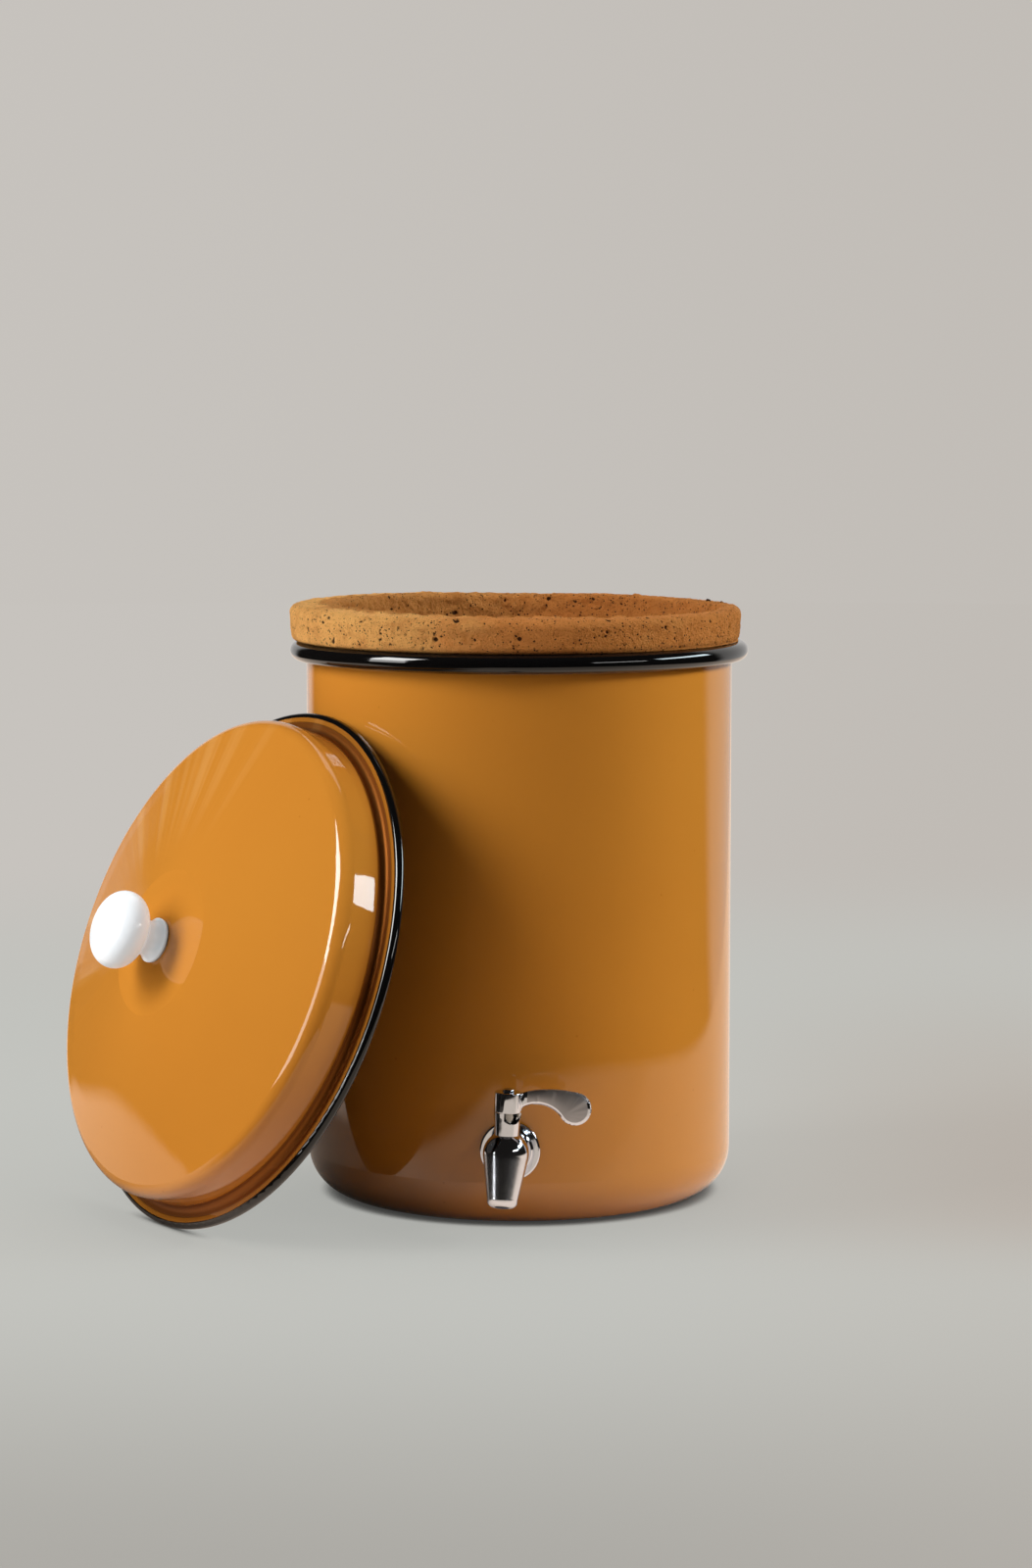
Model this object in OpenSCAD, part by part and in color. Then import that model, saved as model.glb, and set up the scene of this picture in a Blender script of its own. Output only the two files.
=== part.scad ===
// Gravity water filter: enamelled steel receptacle with a lever tap, clay filter pot, and a lid.
// Millimetres, +Z up. The origin is the centre of the receptacle's base and the tap points to -Y.
// The tap is shut, the filter pot hangs in the receptacle, and the lid leans on the wall.

/* [Receptacle] */
// Outer diameter of the steel wall
drum_d = 280; // [250:1:310]
// Height from the floor to the top of the rolled rim
drum_h = 365.8; // [340:0.1:420]
// Thickness of the enamelled sheet, in the receptacle and in the lid
sheet_t = 1.2; // [0.8:0.1:1.8]
// Outer radius of the bottom corner
drum_corner_r = 30; // [15:1:31]
// Diameter of the tube that the rim is rolled into
rim_tube_d = 12; // [9:0.5:15]

/* [Filter pot] */
// How far the clay rim stops short of the outside of the rolled rim
pot_rim_inset = 1.8; // [0:0.1:3]
// Height of the clay rim
pot_rim_h = 25; // [18:0.1:32]
// How much the clay rim narrows on each side towards its foot
pot_rim_draft = 1.2; // [0:0.1:3]
// Rounding of the rim's upper edge
pot_rim_top_r = 6; // [3:0.5:8]
// Rounding of the rim's lower edge
pot_rim_foot_r = 4; // [2:0.5:6]
// Gap between the clay wall and the steel wall, just under the rim
pot_clearance = 3.8; // [2:0.1:8]
// Thickness of the clay wall
pot_wall_t = 10; // [8:0.5:15]
// Depth of the clay pot below its rim
pot_drop = 232; // [180:1:250]
// How much the clay pot narrows on each side from its rim to its floor
pot_draft = 26; // [15:1:35]
// Thickness of the clay floor
pot_floor_t = 14; // [10:1:20]
// Outer rounding between the clay wall and floor
pot_corner_r = 26; // [18:1:32]

/* [Lid] */
// Gap between the clay rim and the lid's upright wall when the lid is on
lid_clearance = 7.6; // [5:0.1:12]
// Outer radius of the lid's rolled edge
lid_curl_r = 3.2; // [2.8:0.1:3.8]
// Width of the flat flange, from the wall's outside to the rolled edge
lid_flange_w = 10; // [8:0.5:12]
// Radius of the groove between the flange and the wall
lid_groove_r = 4; // [3:0.5:6]
// Height of the upright wall above the flange
lid_wall_h = 23; // [16:1:30]
// Radius of the shoulder between the wall and the crown
lid_shoulder_r = 9.5; // [6:0.5:14]
// Slope of the crown, in degrees
crown_slope = 15; // [8:0.5:20]
// Radius at which the crown turns into its flatter cap
crown_cap_r = 48; // [36:1:60]
// Radius of the curve of the cap, seen from the side
crown_cap_curve = 350; // [250:10:600]
// Way from the receptacle's axis to the lid, from -Y towards -X, in degrees
lid_bearing = 59.8; // [45:0.1:75]
// Way that the lid faces, from -Y towards -X, in degrees
lid_turn = 54.2; // [45:0.1:75]
// How far the leaning lid is tipped back from upright, in degrees
lid_lean = 19.8; // [12:0.1:30]

/* [Knob] */
// Diameter of the knob's head
knob_d = 50; // [40:1:56]
// Thickness of the knob's head
knob_head_h = 28.6; // [22:0.2:34]
// Radius of the head's outer edge
knob_edge_r = 11.5; // [9:0.5:13]
// Height of the whole knob
knob_h = 41; // [36:0.5:48]
// Diameter of the knob's foot
knob_foot_d = 29; // [24:0.5:34]
// Diameter of the knob's neck at its waist
knob_waist_d = 22.5; // [18:0.5:24]
// Thickness of the gasket under the knob
knob_gasket_t = 1; // [0.6:0.1:2]
// Outer diameter of the brass insert
insert_d = 9; // [8:0.5:12]
// Length of the brass insert
insert_l = 12; // [8:0.5:16]
// Thread diameter of the knob's screw
knob_screw_d = 5; // [4:0.5:6]
// Head diameter of the knob's screw
knob_screw_head_d = 9.4; // [8:0.2:12]
// Head height of the knob's screw
knob_screw_head_h = 3; // [2:0.2:4]
// Outer diameter of the washer under the screw's head
knob_washer_d = 15; // [12:0.5:20]
// Thickness of the washer under the screw's head
knob_washer_t = 1; // [0.6:0.1:2]

/* [Tap body] */
// Height of the tap's shank above the floor
tap_z = 51.5; // [50:0.5:90]
// Distance from the wall to the barrel's axis
tap_reach = 28; // [25:0.5:34]
// How far the tap is turned about its shank, in degrees
tap_roll = 2.4; // [-5:0.1:5]
// How far the tap is turned sideways on the wall, towards +X, in degrees
tap_yaw = -3.6; // [-4:0.1:4]
// Diameter of the flange against the wall
flange_d = 38.6; // [35:0.2:40]
// Thickness of the flange at its rim
flange_t = 2.6; // [2:0.1:4]
// Diameter of the raised step on the flange, at its foot
flange_step_d = 31.8; // [30:0.2:33]
// Height of the raised step on the flange
flange_step_h = 2; // [1:0.1:3]
// Diameter of the neck between the flange and the ball
neck_d = 22; // [20:0.5:24]
// Radius of the ball that the barrel and the nozzle grow from
ball_r = 14.5; // [13.5:0.1:16]
// Height of the ball's centre above the shank's axis
ball_rise = 3; // [1:0.5:4]
// Length of the nozzle from the ball's centre to its mouth
nozzle_l = 34; // [29:0.5:36]
// Radius of the nozzle's rounded lip
lip_r = 4.4; // [3:0.1:5]
// Diameter across the crests of the lip
lip_d = 10.6; // [9.5:0.1:12]
// How far the nozzle leans forward, in degrees
nozzle_tilt = 21; // [5:1:30]
// Diameter of the outlet through the nozzle
outlet_d = 9; // [7:0.5:9.5]
// Diameter of the inlet through the shank
inlet_d = 10; // [9:0.5:10.5]
// Outer diameter of the barrel
barrel_d = 16.9; // [16.4:0.1:18]
// How much the barrel's side leans inward towards its foot, in degrees
barrel_taper = 3; // [0:0.5:4]
// Height of the barrel's top above the shank's axis
barrel_h = 29.5; // [28:0.5:36]
// Diameter of the barrel's bore
bore_d = 12; // [11.6:0.1:12.4]
// Depth of the bore below the shank's axis
bore_depth = 9; // [8.5:0.1:10]
// Radius of the scooped notch in the barrel's top
notch_r = 7.6; // [7.2:0.1:8]
// Depth of the scooped notch
notch_depth = 6.6; // [5.5:0.1:7]
// Way that the notch faces, from -Y towards +X, in degrees
notch_facing = 30; // [5:1:35]
// Thread diameter of the shank
shank_d = 16; // [15:0.5:17]
// Length of thread left showing past the nut
shank_spare = 6; // [3:1:12]

/* [Tap fastening] */
// Diameter of the outer gasket
outer_gasket_d = 34; // [28:1:35]
// Thickness of the outer gasket at its middle
outer_gasket_t = 1; // [0.8:0.1:2]
// Diameter of the inner gasket
inner_gasket_d = 30; // [26:1:32]
// Thickness of the inner gasket at its middle
inner_gasket_t = 2.5; // [2:0.1:4]
// Diameter of the clamping washer
clamp_washer_d = 28; // [24:1:32]
// Thickness of the clamping washer
clamp_washer_t = 1.5; // [1:0.1:2.5]
// Width of the nut across its flats
nut_flats = 24; // [22:1:28]
// Thickness of the nut
nut_t = 6; // [4:0.5:10]

/* [Plug] */
// Diameter of the waterway in the plug
port_d = 7; // [6:0.5:7.5]
// Diameter of the plug's stem
stem_d = 9.2; // [8.8:0.1:9.6]
// Width of the square at the top of the stem
stem_square = 6.4; // [5.5:0.1:6.4]
// Length of the square at the top of the stem
stem_square_h = 8; // [6:0.5:8.5]
// Section diameter of the plug's O-rings
ring_section_d = 1.6; // [1.2:0.1:1.8]
// Height of the upper O-ring above the shank's axis
ring_upper_z = 12; // [8:0.5:16]
// Depth of the lower O-ring below the shank's axis
ring_lower_z = 6; // [5.5:0.1:6.5]
// Thickness of the spring ring over the plug
clip_t = 0.8; // [0.6:0.1:1.2]
// Depth of the spring ring's groove
clip_groove = 0.7; // [0.5:0.1:1]
// Height of the spring ring above the shank's axis
clip_z = 20; // [18:0.5:21.5]
// Length of the seat behind the plug
seat_l = 5; // [3:0.5:7]
// Diameter of the waterway in the seat
seat_bore_d = 7; // [6:0.5:7.5]

/* [Lever] */
// Diameter of the lever's hub
hub_d = 17.3; // [16.8:0.1:19]
// Height of the lever's hub
hub_h = 12.7; // [12:0.1:15]
// Distance from the hub's axis to the centre of the paddle
paddle_x = 42.1; // [38:0.1:55]
// Depth of the paddle's centre below the hub's top
paddle_drop = 8.4; // [7:0.1:12]
// Radius of the paddle
paddle_r = 10.2; // [9.5:0.1:12]
// Distance from the hub's axis to the centre of the hollow under the blade
hollow_x = 18.8; // [17.5:0.1:21]
// Radius of the hollow under the blade
hollow_r = 18.6; // [16:0.1:19]
// Radius of the blade's long upper edge
blade_top_r = 75; // [65:1:120]
// How far the blade's upper edge arches over the hub's top
blade_rise = 3; // [1.5:0.1:4]
// Thickness of the blade and paddle
blade_t = 4.5; // [3:0.1:6]
// Width of the bevel around the blade and paddle
bevel_w = 2; // [0.6:0.1:2.6]
// Depth of the bevel around the blade and paddle
bevel_h = 1.2; // [0.4:0.1:1.6]
// Thread diameter of the lever's screw
lever_screw_d = 4; // [3:0.5:4.5]
// Head diameter of the lever's screw
lever_screw_head_d = 7.6; // [6.5:0.2:9]
// Height of the screw's head
lever_screw_head_h = 2; // [1.5:0.1:2.5]
// Diameter of the stop pin
pin_d = 1.6; // [1.4:0.1:1.8]
// How far the stop pin reaches into the notch
pin_reach = 3; // [2:0.1:3.2]
// Quarter turn between shut and open, in degrees
lever_travel = 90; // [80:1:90]

/* [Clearances] */
// Gap between parts that rest on each other and lift apart
rest_gap = 0.3; // [0.2:0.05:0.5]
// Radial gap between turning parts
run_gap = 0.05; // [0.03:0.01:0.1]
// Radial gap of fixed parts in their holes and grooves
fit_gap = 0.05; // [0.02:0.01:0.1]
// Radial gap of a bolt or shank in a clearance hole
hole_gap = 0.5; // [0.3:0.1:1]

/* [Hidden] */
$fn = 96;
cut = 1; // how far a cutting shape runs past the face it cuts
bite = 0.05; // how far a leaning side sinks into the curves that it joins

ochre = [0.75, 0.42, 0.08];
clay = [0.72, 0.44, 0.24];
steel = [0.78, 0.78, 0.78];
silicone = [0.85, 0.85, 0.82];
white = [0.93, 0.93, 0.93];
black_rubber = [0.08, 0.08, 0.08];
brass = [0.8, 0.65, 0.3];

// Receptacle
drum_r = drum_d / 2;
drum_in_r = drum_r - sheet_t;
rim_tube_r = rim_tube_d / 2;
rim_z = drum_h - rim_tube_r;
rim_path_r = drum_in_r + rim_tube_r;
rim_out_r = rim_path_r + rim_tube_r;
curl_gap = 60; // open part of a rolled edge, in degrees

// Filter pot
pot_seat_z = drum_h + rest_gap;
pot_top_z = pot_seat_z + pot_rim_h;
pot_low_z = pot_seat_z - pot_drop;
pot_r = drum_in_r - pot_clearance;
pot_rim_r = rim_out_r - pot_rim_inset;
pot_lean = pot_draft / pot_drop;

// Lid, in its own frame: the flange's face is z = 0 and the knob points to +Z
lid_wall_r = pot_rim_r + lid_clearance + sheet_t;
lid_path_r = lid_wall_r + lid_flange_w;
shoulder_at = [lid_wall_r - lid_shoulder_r, lid_wall_h];
cap_edge_z = shoulder_at.y + lid_shoulder_r * cos(crown_slope)
    + (shoulder_at.x + lid_shoulder_r * sin(crown_slope) - crown_cap_r) * tan(crown_slope);
cap_centre_z = cap_edge_z - sqrt(pow(crown_cap_curve, 2) - pow(crown_cap_r, 2));
seat_margin = 2; // width of the flat seat past the knob's foot
knob_seat_r = knob_foot_d / 2 + seat_margin;
knob_seat_z = cap_centre_z + sqrt(pow(crown_cap_curve, 2) - pow(knob_seat_r, 2));
knob_z = knob_seat_z + knob_gasket_t;

// Lid, leaning on the wall: where the centre of its flange stands
lid_axis = [-sin(lid_turn) * cos(lid_lean), -cos(lid_turn) * cos(lid_lean), sin(lid_lean)];
lid_across = [cos(lid_turn), -sin(lid_turn), 0];
lid_up = [sin(lid_turn) * sin(lid_lean), cos(lid_turn) * sin(lid_lean), cos(lid_lean)];
lid_z = lid_curl_r * (1 + sin(lid_lean)) + lid_path_r * cos(lid_lean);

function lid_centre(reach) = [-reach * sin(lid_bearing), -reach * cos(lid_bearing), lid_z];
function edge_point(reach, a) = lid_centre(reach) - lid_curl_r * lid_axis
    + lid_path_r * (cos(a) * lid_across + sin(a) * lid_up);
function wall_reach(z) = z > rim_z - rim_tube_r - lid_curl_r ? rim_out_r : drum_r;
function edge_gap(reach) = min([for (a = [0:359]) let (p = edge_point(reach, a))
    norm([p.x, p.y]) - wall_reach(p.z)]) - lid_curl_r;
// Halves the span until the lid's edge stands rest_gap from the wall
function lean_reach(low, high, steps) = steps == 0 ? high
    : let (middle = (low + high) / 2)
        edge_gap(middle) < rest_gap ? lean_reach(middle, high, steps - 1)
                                    : lean_reach(low, middle, steps - 1);
lid_pos = lid_centre(lean_reach(drum_r / 2, drum_d + 2 * lid_path_r, 30));

// Knob, in the lid's frame above knob_z
knob_head_z = knob_h - knob_head_h / 2;
knob_edge_at = knob_d / 2 - knob_edge_r;
knob_flat = knob_head_h / 2 - knob_edge_r;
knob_face_r = (pow(knob_edge_at, 2) - pow(knob_flat, 2)) / (2 * knob_flat) + knob_head_h / 2;
knob_foot_round = 2; // rounding of the foot's edge
knob_waist_r = 8; // radius of the hollow waist
insert_bore_r = knob_screw_d / 2 + fit_gap;

// Tap, in its own frame: y = 0 on the wall, z = 0 on the shank's axis
bore_r = bore_d / 2;
plug_r = bore_r - run_gap;
plug_low_z = -bore_depth + rest_gap;
plug_top_z = clip_z - rest_gap;
barrel_r = barrel_d / 2;
barrel_foot_r = barrel_r - (barrel_h - ball_rise) * tan(barrel_taper);
hub_low_z = barrel_h + rest_gap;
hub_top_z = hub_low_z + hub_h;
ring_groove_r = plug_r - ring_section_d - fit_gap;
pin_orbit_r = (bore_r + barrel_r) / 2;
pin_rest = notch_facing + lever_travel / 2;
stop_gap = 0.1; // gap between the stop pin and the notch's end
notch_face = pin_orbit_r * cos(lever_travel / 2) - pin_d / 2 - stop_gap;
notch_centre_z = barrel_h - notch_depth + notch_r;
shank_in = sheet_t + inner_gasket_t + clamp_washer_t + nut_t + shank_spare;
socket_gap = 0.5; // gap over the stem's square

// Outlet nozzle, along its own axis from the ball's centre
lip_at = [lip_d / 2, nozzle_l - lip_r];
nozzle_taper = asin((ball_r - lip_r) / norm(lip_at)) - atan(lip_at.x / lip_at.y);
taper_normal = [cos(nozzle_taper), sin(nozzle_taper)];

// Lever, in the plane of its blade
paddle_at = [paddle_x, hub_top_z - paddle_drop];
hollow_at = [hollow_x, paddle_at.y - sqrt(pow(hollow_r + paddle_r, 2)
    - pow(paddle_x - hollow_x, 2))];
blade_top_z = hub_top_z + blade_rise - blade_top_r;
blade_top_at = [paddle_x - sqrt(pow(blade_top_r - paddle_r, 2)
    - pow(paddle_at.y - blade_top_z, 2)), blade_top_z];
join_low = paddle_at + (hollow_at - paddle_at) * paddle_r / (hollow_r + paddle_r);
join_high = paddle_at + (paddle_at - blade_top_at) * paddle_r / (blade_top_r - paddle_r);

// Half-section from the axis to a side that leans, with rounded corners
module half_section(r_low, r_high, z_low, z_high, round_low = 0, round_high = 0) {
    lean = atan((r_high - r_low) / (z_high - z_low));
    out = [cos(lean), -sin(lean)];
    low = [r_low + round_low * (tan(lean) - 1 / cos(lean)), z_low + round_low];
    high = [r_high - round_high * (tan(lean) + 1 / cos(lean)), z_high - round_high];
    polygon([[0, z_low], [low.x, z_low], low + round_low * out, high + round_high * out,
        [high.x, z_high], [0, z_high]]);
    if (round_low > 0) translate(low) circle(r = round_low);
    if (round_high > 0) translate(high) circle(r = round_high);
}

// Section of an edge rolled into an open tube, with its gap starting at the angle from
module curl(tube_r, from) {
    far = 2 * tube_r;
    difference() {
        circle(r = tube_r);
        circle(r = tube_r - sheet_t);
        polygon([[0, 0], for (a = [from, from + curl_gap / 2, from + curl_gap])
            far * [cos(a), sin(a)]]);
    }
}

module ring(outer_r, inner_r, h) {
    difference() {
        cylinder(r = outer_r, h = h);
        translate([0, 0, -cut]) cylinder(r = inner_r, h = h + 2 * cut);
    }
}

module receptacle_section() {
    difference() {
        half_section(drum_r, drum_r, 0, rim_z, drum_corner_r);
        half_section(drum_in_r, drum_in_r, sheet_t, rim_z + cut, drum_corner_r - sheet_t);
    }
    translate([rim_path_r, rim_z]) curl(rim_tube_r, 180);
}

module receptacle() {
    color(ochre) difference() {
        rotate_extrude() receptacle_section();
        translate([0, 0, tap_z]) rotate([90, 0, 0])
            cylinder(r = shank_d / 2 + hole_gap, h = drum_d);
    }
}

module filter_pot() {
    color(clay) rotate_extrude() difference() {
        union() {
            half_section(pot_rim_r - pot_rim_draft, pot_rim_r, pot_seat_z, pot_top_z,
                pot_rim_foot_r, pot_rim_top_r);
            half_section(pot_r - pot_draft, pot_r + pot_lean, pot_low_z, pot_seat_z + 1,
                pot_corner_r);
        }
        half_section(pot_r - pot_draft + pot_floor_t * pot_lean - pot_wall_t,
            pot_r + (pot_rim_h + cut) * pot_lean - pot_wall_t,
            pot_low_z + pot_floor_t, pot_top_z + cut, pot_corner_r - pot_wall_t);
    }
}

// Section of the space under the lid's outer face, moved in by the thickness t
module dome(t) {
    shoulder = lid_shoulder_r - t;
    edge = shoulder_at + shoulder * [sin(crown_slope), cos(crown_slope)];
    polygon([[0, -cut], [lid_wall_r - t, -cut], [lid_wall_r - t, lid_wall_h], edge,
        [crown_cap_r, edge.y + (edge.x - crown_cap_r) * tan(crown_slope)],
        [0, edge.y + (edge.x - crown_cap_r) * tan(crown_slope)]]);
    translate(shoulder_at) circle(r = shoulder);
    intersection() {
        translate([0, cap_centre_z]) circle(r = crown_cap_curve - t, $fn = 360);
        translate([0, lid_wall_h]) square([crown_cap_r, knob_seat_z - t - lid_wall_h]);
    }
}

// Corner between the wall and the flange, below a groove of radius r
module groove_corner(r, low) {
    difference() {
        translate([lid_wall_r - lid_groove_r, low])
            square([2 * lid_groove_r, lid_groove_r - low]);
        translate([lid_wall_r + lid_groove_r, lid_groove_r]) circle(r = r);
    }
}

module lid_section() {
    difference() {
        union() {
            dome(0);
            translate([0, -sheet_t]) square([lid_path_r, sheet_t]);
            groove_corner(lid_groove_r, -sheet_t);
        }
        translate([0, -2 * cut]) square([lid_wall_r - sheet_t, 2 * cut + lid_groove_r]);
        dome(sheet_t);
        groove_corner(lid_groove_r + sheet_t, -sheet_t - cut);
    }
    translate([lid_path_r, -lid_curl_r]) curl(lid_curl_r, 90);
}

module leaning() {
    translate(lid_pos) rotate([90 - lid_lean, 0, -lid_turn]) children();
}

module lid_shell() {
    color(ochre) leaning() difference() {
        rotate_extrude() lid_section();
        cylinder(r = knob_screw_d / 2 + hole_gap, h = knob_z);
    }
}

module knob_head_section() {
    reach = knob_edge_at * knob_face_r / (knob_face_r - knob_edge_r);
    intersection() {
        translate([0, knob_head_z + knob_head_h / 2 - knob_face_r]) circle(r = knob_face_r);
        translate([0, knob_head_z - knob_head_h / 2 + knob_face_r]) circle(r = knob_face_r);
        translate([0, knob_head_z - knob_head_h / 2]) square([reach, knob_head_h]);
    }
    translate([knob_edge_at, knob_head_z]) circle(r = knob_edge_r);
}

module knob() {
    waist_z = (knob_h - knob_head_h) / 2 + knob_foot_round;
    color(white) leaning() translate([0, 0, knob_z]) difference() {
        rotate_extrude() {
            difference() {
                half_section(knob_foot_d / 2, knob_foot_d / 2, 0, knob_head_z,
                    knob_foot_round / 2, knob_foot_round);
                translate([knob_waist_d / 2 + knob_waist_r, waist_z])
                    circle(r = knob_waist_r);
            }
            knob_head_section();
        }
        translate([0, 0, -cut]) cylinder(r = insert_d / 2 + fit_gap, h = insert_l + fit_gap + cut);
    }
}

module knob_gasket() {
    color(black_rubber) leaning() translate([0, 0, knob_seat_z])
        ring(knob_foot_d / 2 - knob_foot_round / 4, knob_screw_d / 2 + hole_gap, knob_gasket_t);
}

module knob_insert() {
    color(brass) leaning() translate([0, 0, knob_z]) ring(insert_d / 2, insert_bore_r, insert_l);
}

module knob_screw() {
    screw_gap = 1; // gap between the screw's tip and the end of the insert
    low = knob_seat_z - sheet_t - knob_washer_t;
    color(steel) leaning() {
        translate([0, 0, low]) cylinder(d = knob_screw_d, h = knob_z + insert_l - screw_gap - low);
        translate([0, 0, low - knob_screw_head_h]) difference() {
            rotate_extrude() rotate(180) mirror([1, 0]) translate([0, -knob_screw_head_h])
                half_section(knob_screw_head_d / 2, knob_screw_head_d / 2, 0,
                    knob_screw_head_h, 0, knob_screw_head_h / 2);
            translate([-knob_screw_head_d / 2, -knob_screw_d / 8, -cut])
                cube([knob_screw_head_d, knob_screw_d / 4, cut + knob_screw_head_h / 2]);
        }
    }
}

module knob_washer() {
    color(steel) leaning() translate([0, 0, knob_seat_z - sheet_t - knob_washer_t])
        ring(knob_washer_d / 2, knob_screw_d / 2 + hole_gap / 2, knob_washer_t);
}

module on_wall() {
    translate([0, -drum_r, tap_z]) rotate([0, 0, tap_yaw]) rotate([0, tap_roll, 0]) children();
}

// Places the parts that are coaxial with the shank; +Z of the children points out of the wall
module on_shank() {
    on_wall() rotate([90, 0, 0]) children();
}

// Places the parts that are coaxial with the barrel; z = 0 on the shank's axis
module on_barrel() {
    on_wall() translate([0, -tap_reach, 0]) children();
}

module nozzle_axis() {
    translate([0, 0, ball_rise]) rotate([180 - nozzle_tilt, 0, 0]) children();
}

module nozzle_section() {
    intersection() {
        circle(r = ball_r);
        translate([0, -ball_r]) square([ball_r, 2 * ball_r]);
    }
    polygon([[0, 0], (ball_r - bite) * taper_normal, lip_at + (lip_r - bite) * taper_normal,
        [lip_at.x, nozzle_l], [0, nozzle_l]]);
    translate(lip_at) circle(r = lip_r);
}

module flange_section() {
    step_z = outer_gasket_t + flange_t;
    half_section(flange_d / 2, flange_d / 2, outer_gasket_t, step_z, flange_t / 5, flange_t / 2);
    half_section(flange_step_d / 2, flange_step_d / 2 - flange_step_h, step_z - cut,
        step_z + flange_step_h, 0, flange_step_h / 4);
    translate([0, -shank_in]) square([shank_d / 2, shank_in + step_z]);
    translate([0, outer_gasket_t]) square([neck_d / 2, tap_reach - outer_gasket_t]);
}

module tap_body() {
    color(steel) difference() {
        union() {
            on_shank() rotate_extrude() flange_section();
            on_barrel() nozzle_axis() rotate_extrude() nozzle_section();
            on_barrel() translate([0, 0, ball_rise])
                cylinder(r1 = barrel_foot_r, r2 = barrel_r, h = barrel_h - ball_rise);
        }
        on_shank() translate([0, 0, -shank_in - cut])
            cylinder(d = inlet_d, h = shank_in + cut + tap_reach);
        on_barrel() {
            translate([0, 0, -bore_depth])
                cylinder(r = bore_r, h = bore_depth + barrel_h + cut);
            translate([0, 0, clip_z - fit_gap])
                cylinder(r = bore_r + clip_groove, h = clip_t + 2 * fit_gap);
            rotate(notch_facing) translate([0, -notch_face, notch_centre_z]) rotate([90, 0, 0])
                cylinder(r = notch_r, h = barrel_r);
            nozzle_axis() translate([0, 0, bore_depth]) cylinder(d = outlet_d, h = nozzle_l);
        }
    }
}

module plug_seat() {
    color(white) difference() {
        on_shank() translate([0, 0, tap_reach - bore_r - seat_l])
            cylinder(r = inlet_d / 2 - fit_gap, h = seat_l + bore_r);
        on_shank() cylinder(d = seat_bore_d, h = tap_reach);
        on_barrel() translate([0, 0, -bore_depth])
            cylinder(r = bore_r + fit_gap, h = bore_depth + barrel_h);
    }
}

module retaining_ring() {
    opening = 5; // gap between the ring's ends
    color(steel) on_barrel() translate([0, 0, clip_z]) difference() {
        ring(bore_r + clip_groove - fit_gap, stem_d / 2 + run_gap * 2, clip_t);
        translate([-opening / 2, 0, -cut]) cube([opening, bore_d, clip_t + 2 * cut]);
    }
}

module outer_gasket() {
    color(silicone) difference() {
        on_shank() translate([0, 0, -outer_gasket_d / 2])
            ring(outer_gasket_d / 2, shank_d / 2 + fit_gap, outer_gasket_d / 2 + outer_gasket_t);
        translate([0, 0, tap_z - outer_gasket_d])
            cylinder(r = drum_r, h = 2 * outer_gasket_d, $fn = 720);
    }
}

module inner_gasket() {
    color(silicone) intersection() {
        on_shank() translate([0, 0, -sheet_t - inner_gasket_t])
            ring(inner_gasket_d / 2, shank_d / 2 + fit_gap, 2 * inner_gasket_t);
        translate([0, 0, tap_z - inner_gasket_d])
            cylinder(r = drum_in_r, h = 2 * inner_gasket_d, $fn = 720);
    }
}

module clamp_washer() {
    color(steel) on_shank() translate([0, 0, -sheet_t - inner_gasket_t - clamp_washer_t])
        ring(clamp_washer_d / 2, shank_d / 2 + hole_gap / 2, clamp_washer_t);
}

module tap_nut() {
    color(steel) on_shank()
        translate([0, 0, -sheet_t - inner_gasket_t - clamp_washer_t - nut_t]) difference() {
            intersection() {
                cylinder(d = nut_flats / cos(30), h = nut_t, $fn = 6);
                rotate_extrude() half_section(nut_flats / cos(30) / 2, nut_flats / cos(30) / 2,
                    0, nut_t, 1, 1);
            }
            translate([0, 0, -cut]) cylinder(r = shank_d / 2 + fit_gap, h = nut_t + 2 * cut);
        }
}

module tap_plug() {
    groove_h = ring_section_d + 2 * fit_gap;
    color(steel) on_barrel() difference() {
        union() {
            translate([0, 0, plug_low_z]) cylinder(r = plug_r, h = plug_top_z - plug_low_z);
            cylinder(d = stem_d, h = hub_low_z);
            translate([-stem_square / 2, -stem_square / 2, 0])
                cube([stem_square, stem_square, hub_low_z + stem_square_h]);
        }
        translate([0, 0, plug_low_z - cut]) cylinder(d = port_d, h = cut - plug_low_z);
        rotate([0, -90, 0]) cylinder(d = port_d, h = bore_d);
        for (z = [ring_upper_z, -ring_lower_z])
            translate([0, 0, z - groove_h / 2]) ring(bore_d, ring_groove_r, groove_h);
        cylinder(d = lever_screw_d + 2 * fit_gap, h = hub_top_z);
    }
}

module plug_ring(z) {
    color(black_rubber) on_barrel() translate([0, 0, z]) rotate_extrude()
        translate([plug_r - ring_section_d / 2, 0]) circle(d = ring_section_d);
}

// Disc in the blade's plane, wider at both faces by w, or narrower if w < 0
module bevelled_disc(at, r, w, over = 0) {
    flat = blade_t / 2 - bevel_h;
    end = blade_t / 2 + over;
    end_r = r + w * (1 + over / bevel_h);
    translate([at.x, 0, at.y]) rotate([90, 0, 0]) rotate_extrude($fn = r > 50 ? 360 : 96)
        polygon([[0, -end], [end_r, -end], [r, -flat], [r, flat], [end_r, end], [0, end]]);
}

module lever_blade() {
    difference() {
        intersection() {
            rotate([90, 0, 0]) linear_extrude(blade_t, center = true)
                polygon([[0, hub_low_z], [hollow_at.x, hub_low_z], join_low, paddle_at,
                    join_high, [join_high.x, hub_top_z + blade_rise],
                    [0, hub_top_z + blade_rise]]);
            bevelled_disc(blade_top_at, blade_top_r, -bevel_w);
        }
        bevelled_disc(hollow_at, hollow_r, bevel_w, cut);
    }
    bevelled_disc(paddle_at, paddle_r + bite, -bevel_w);
}

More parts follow.
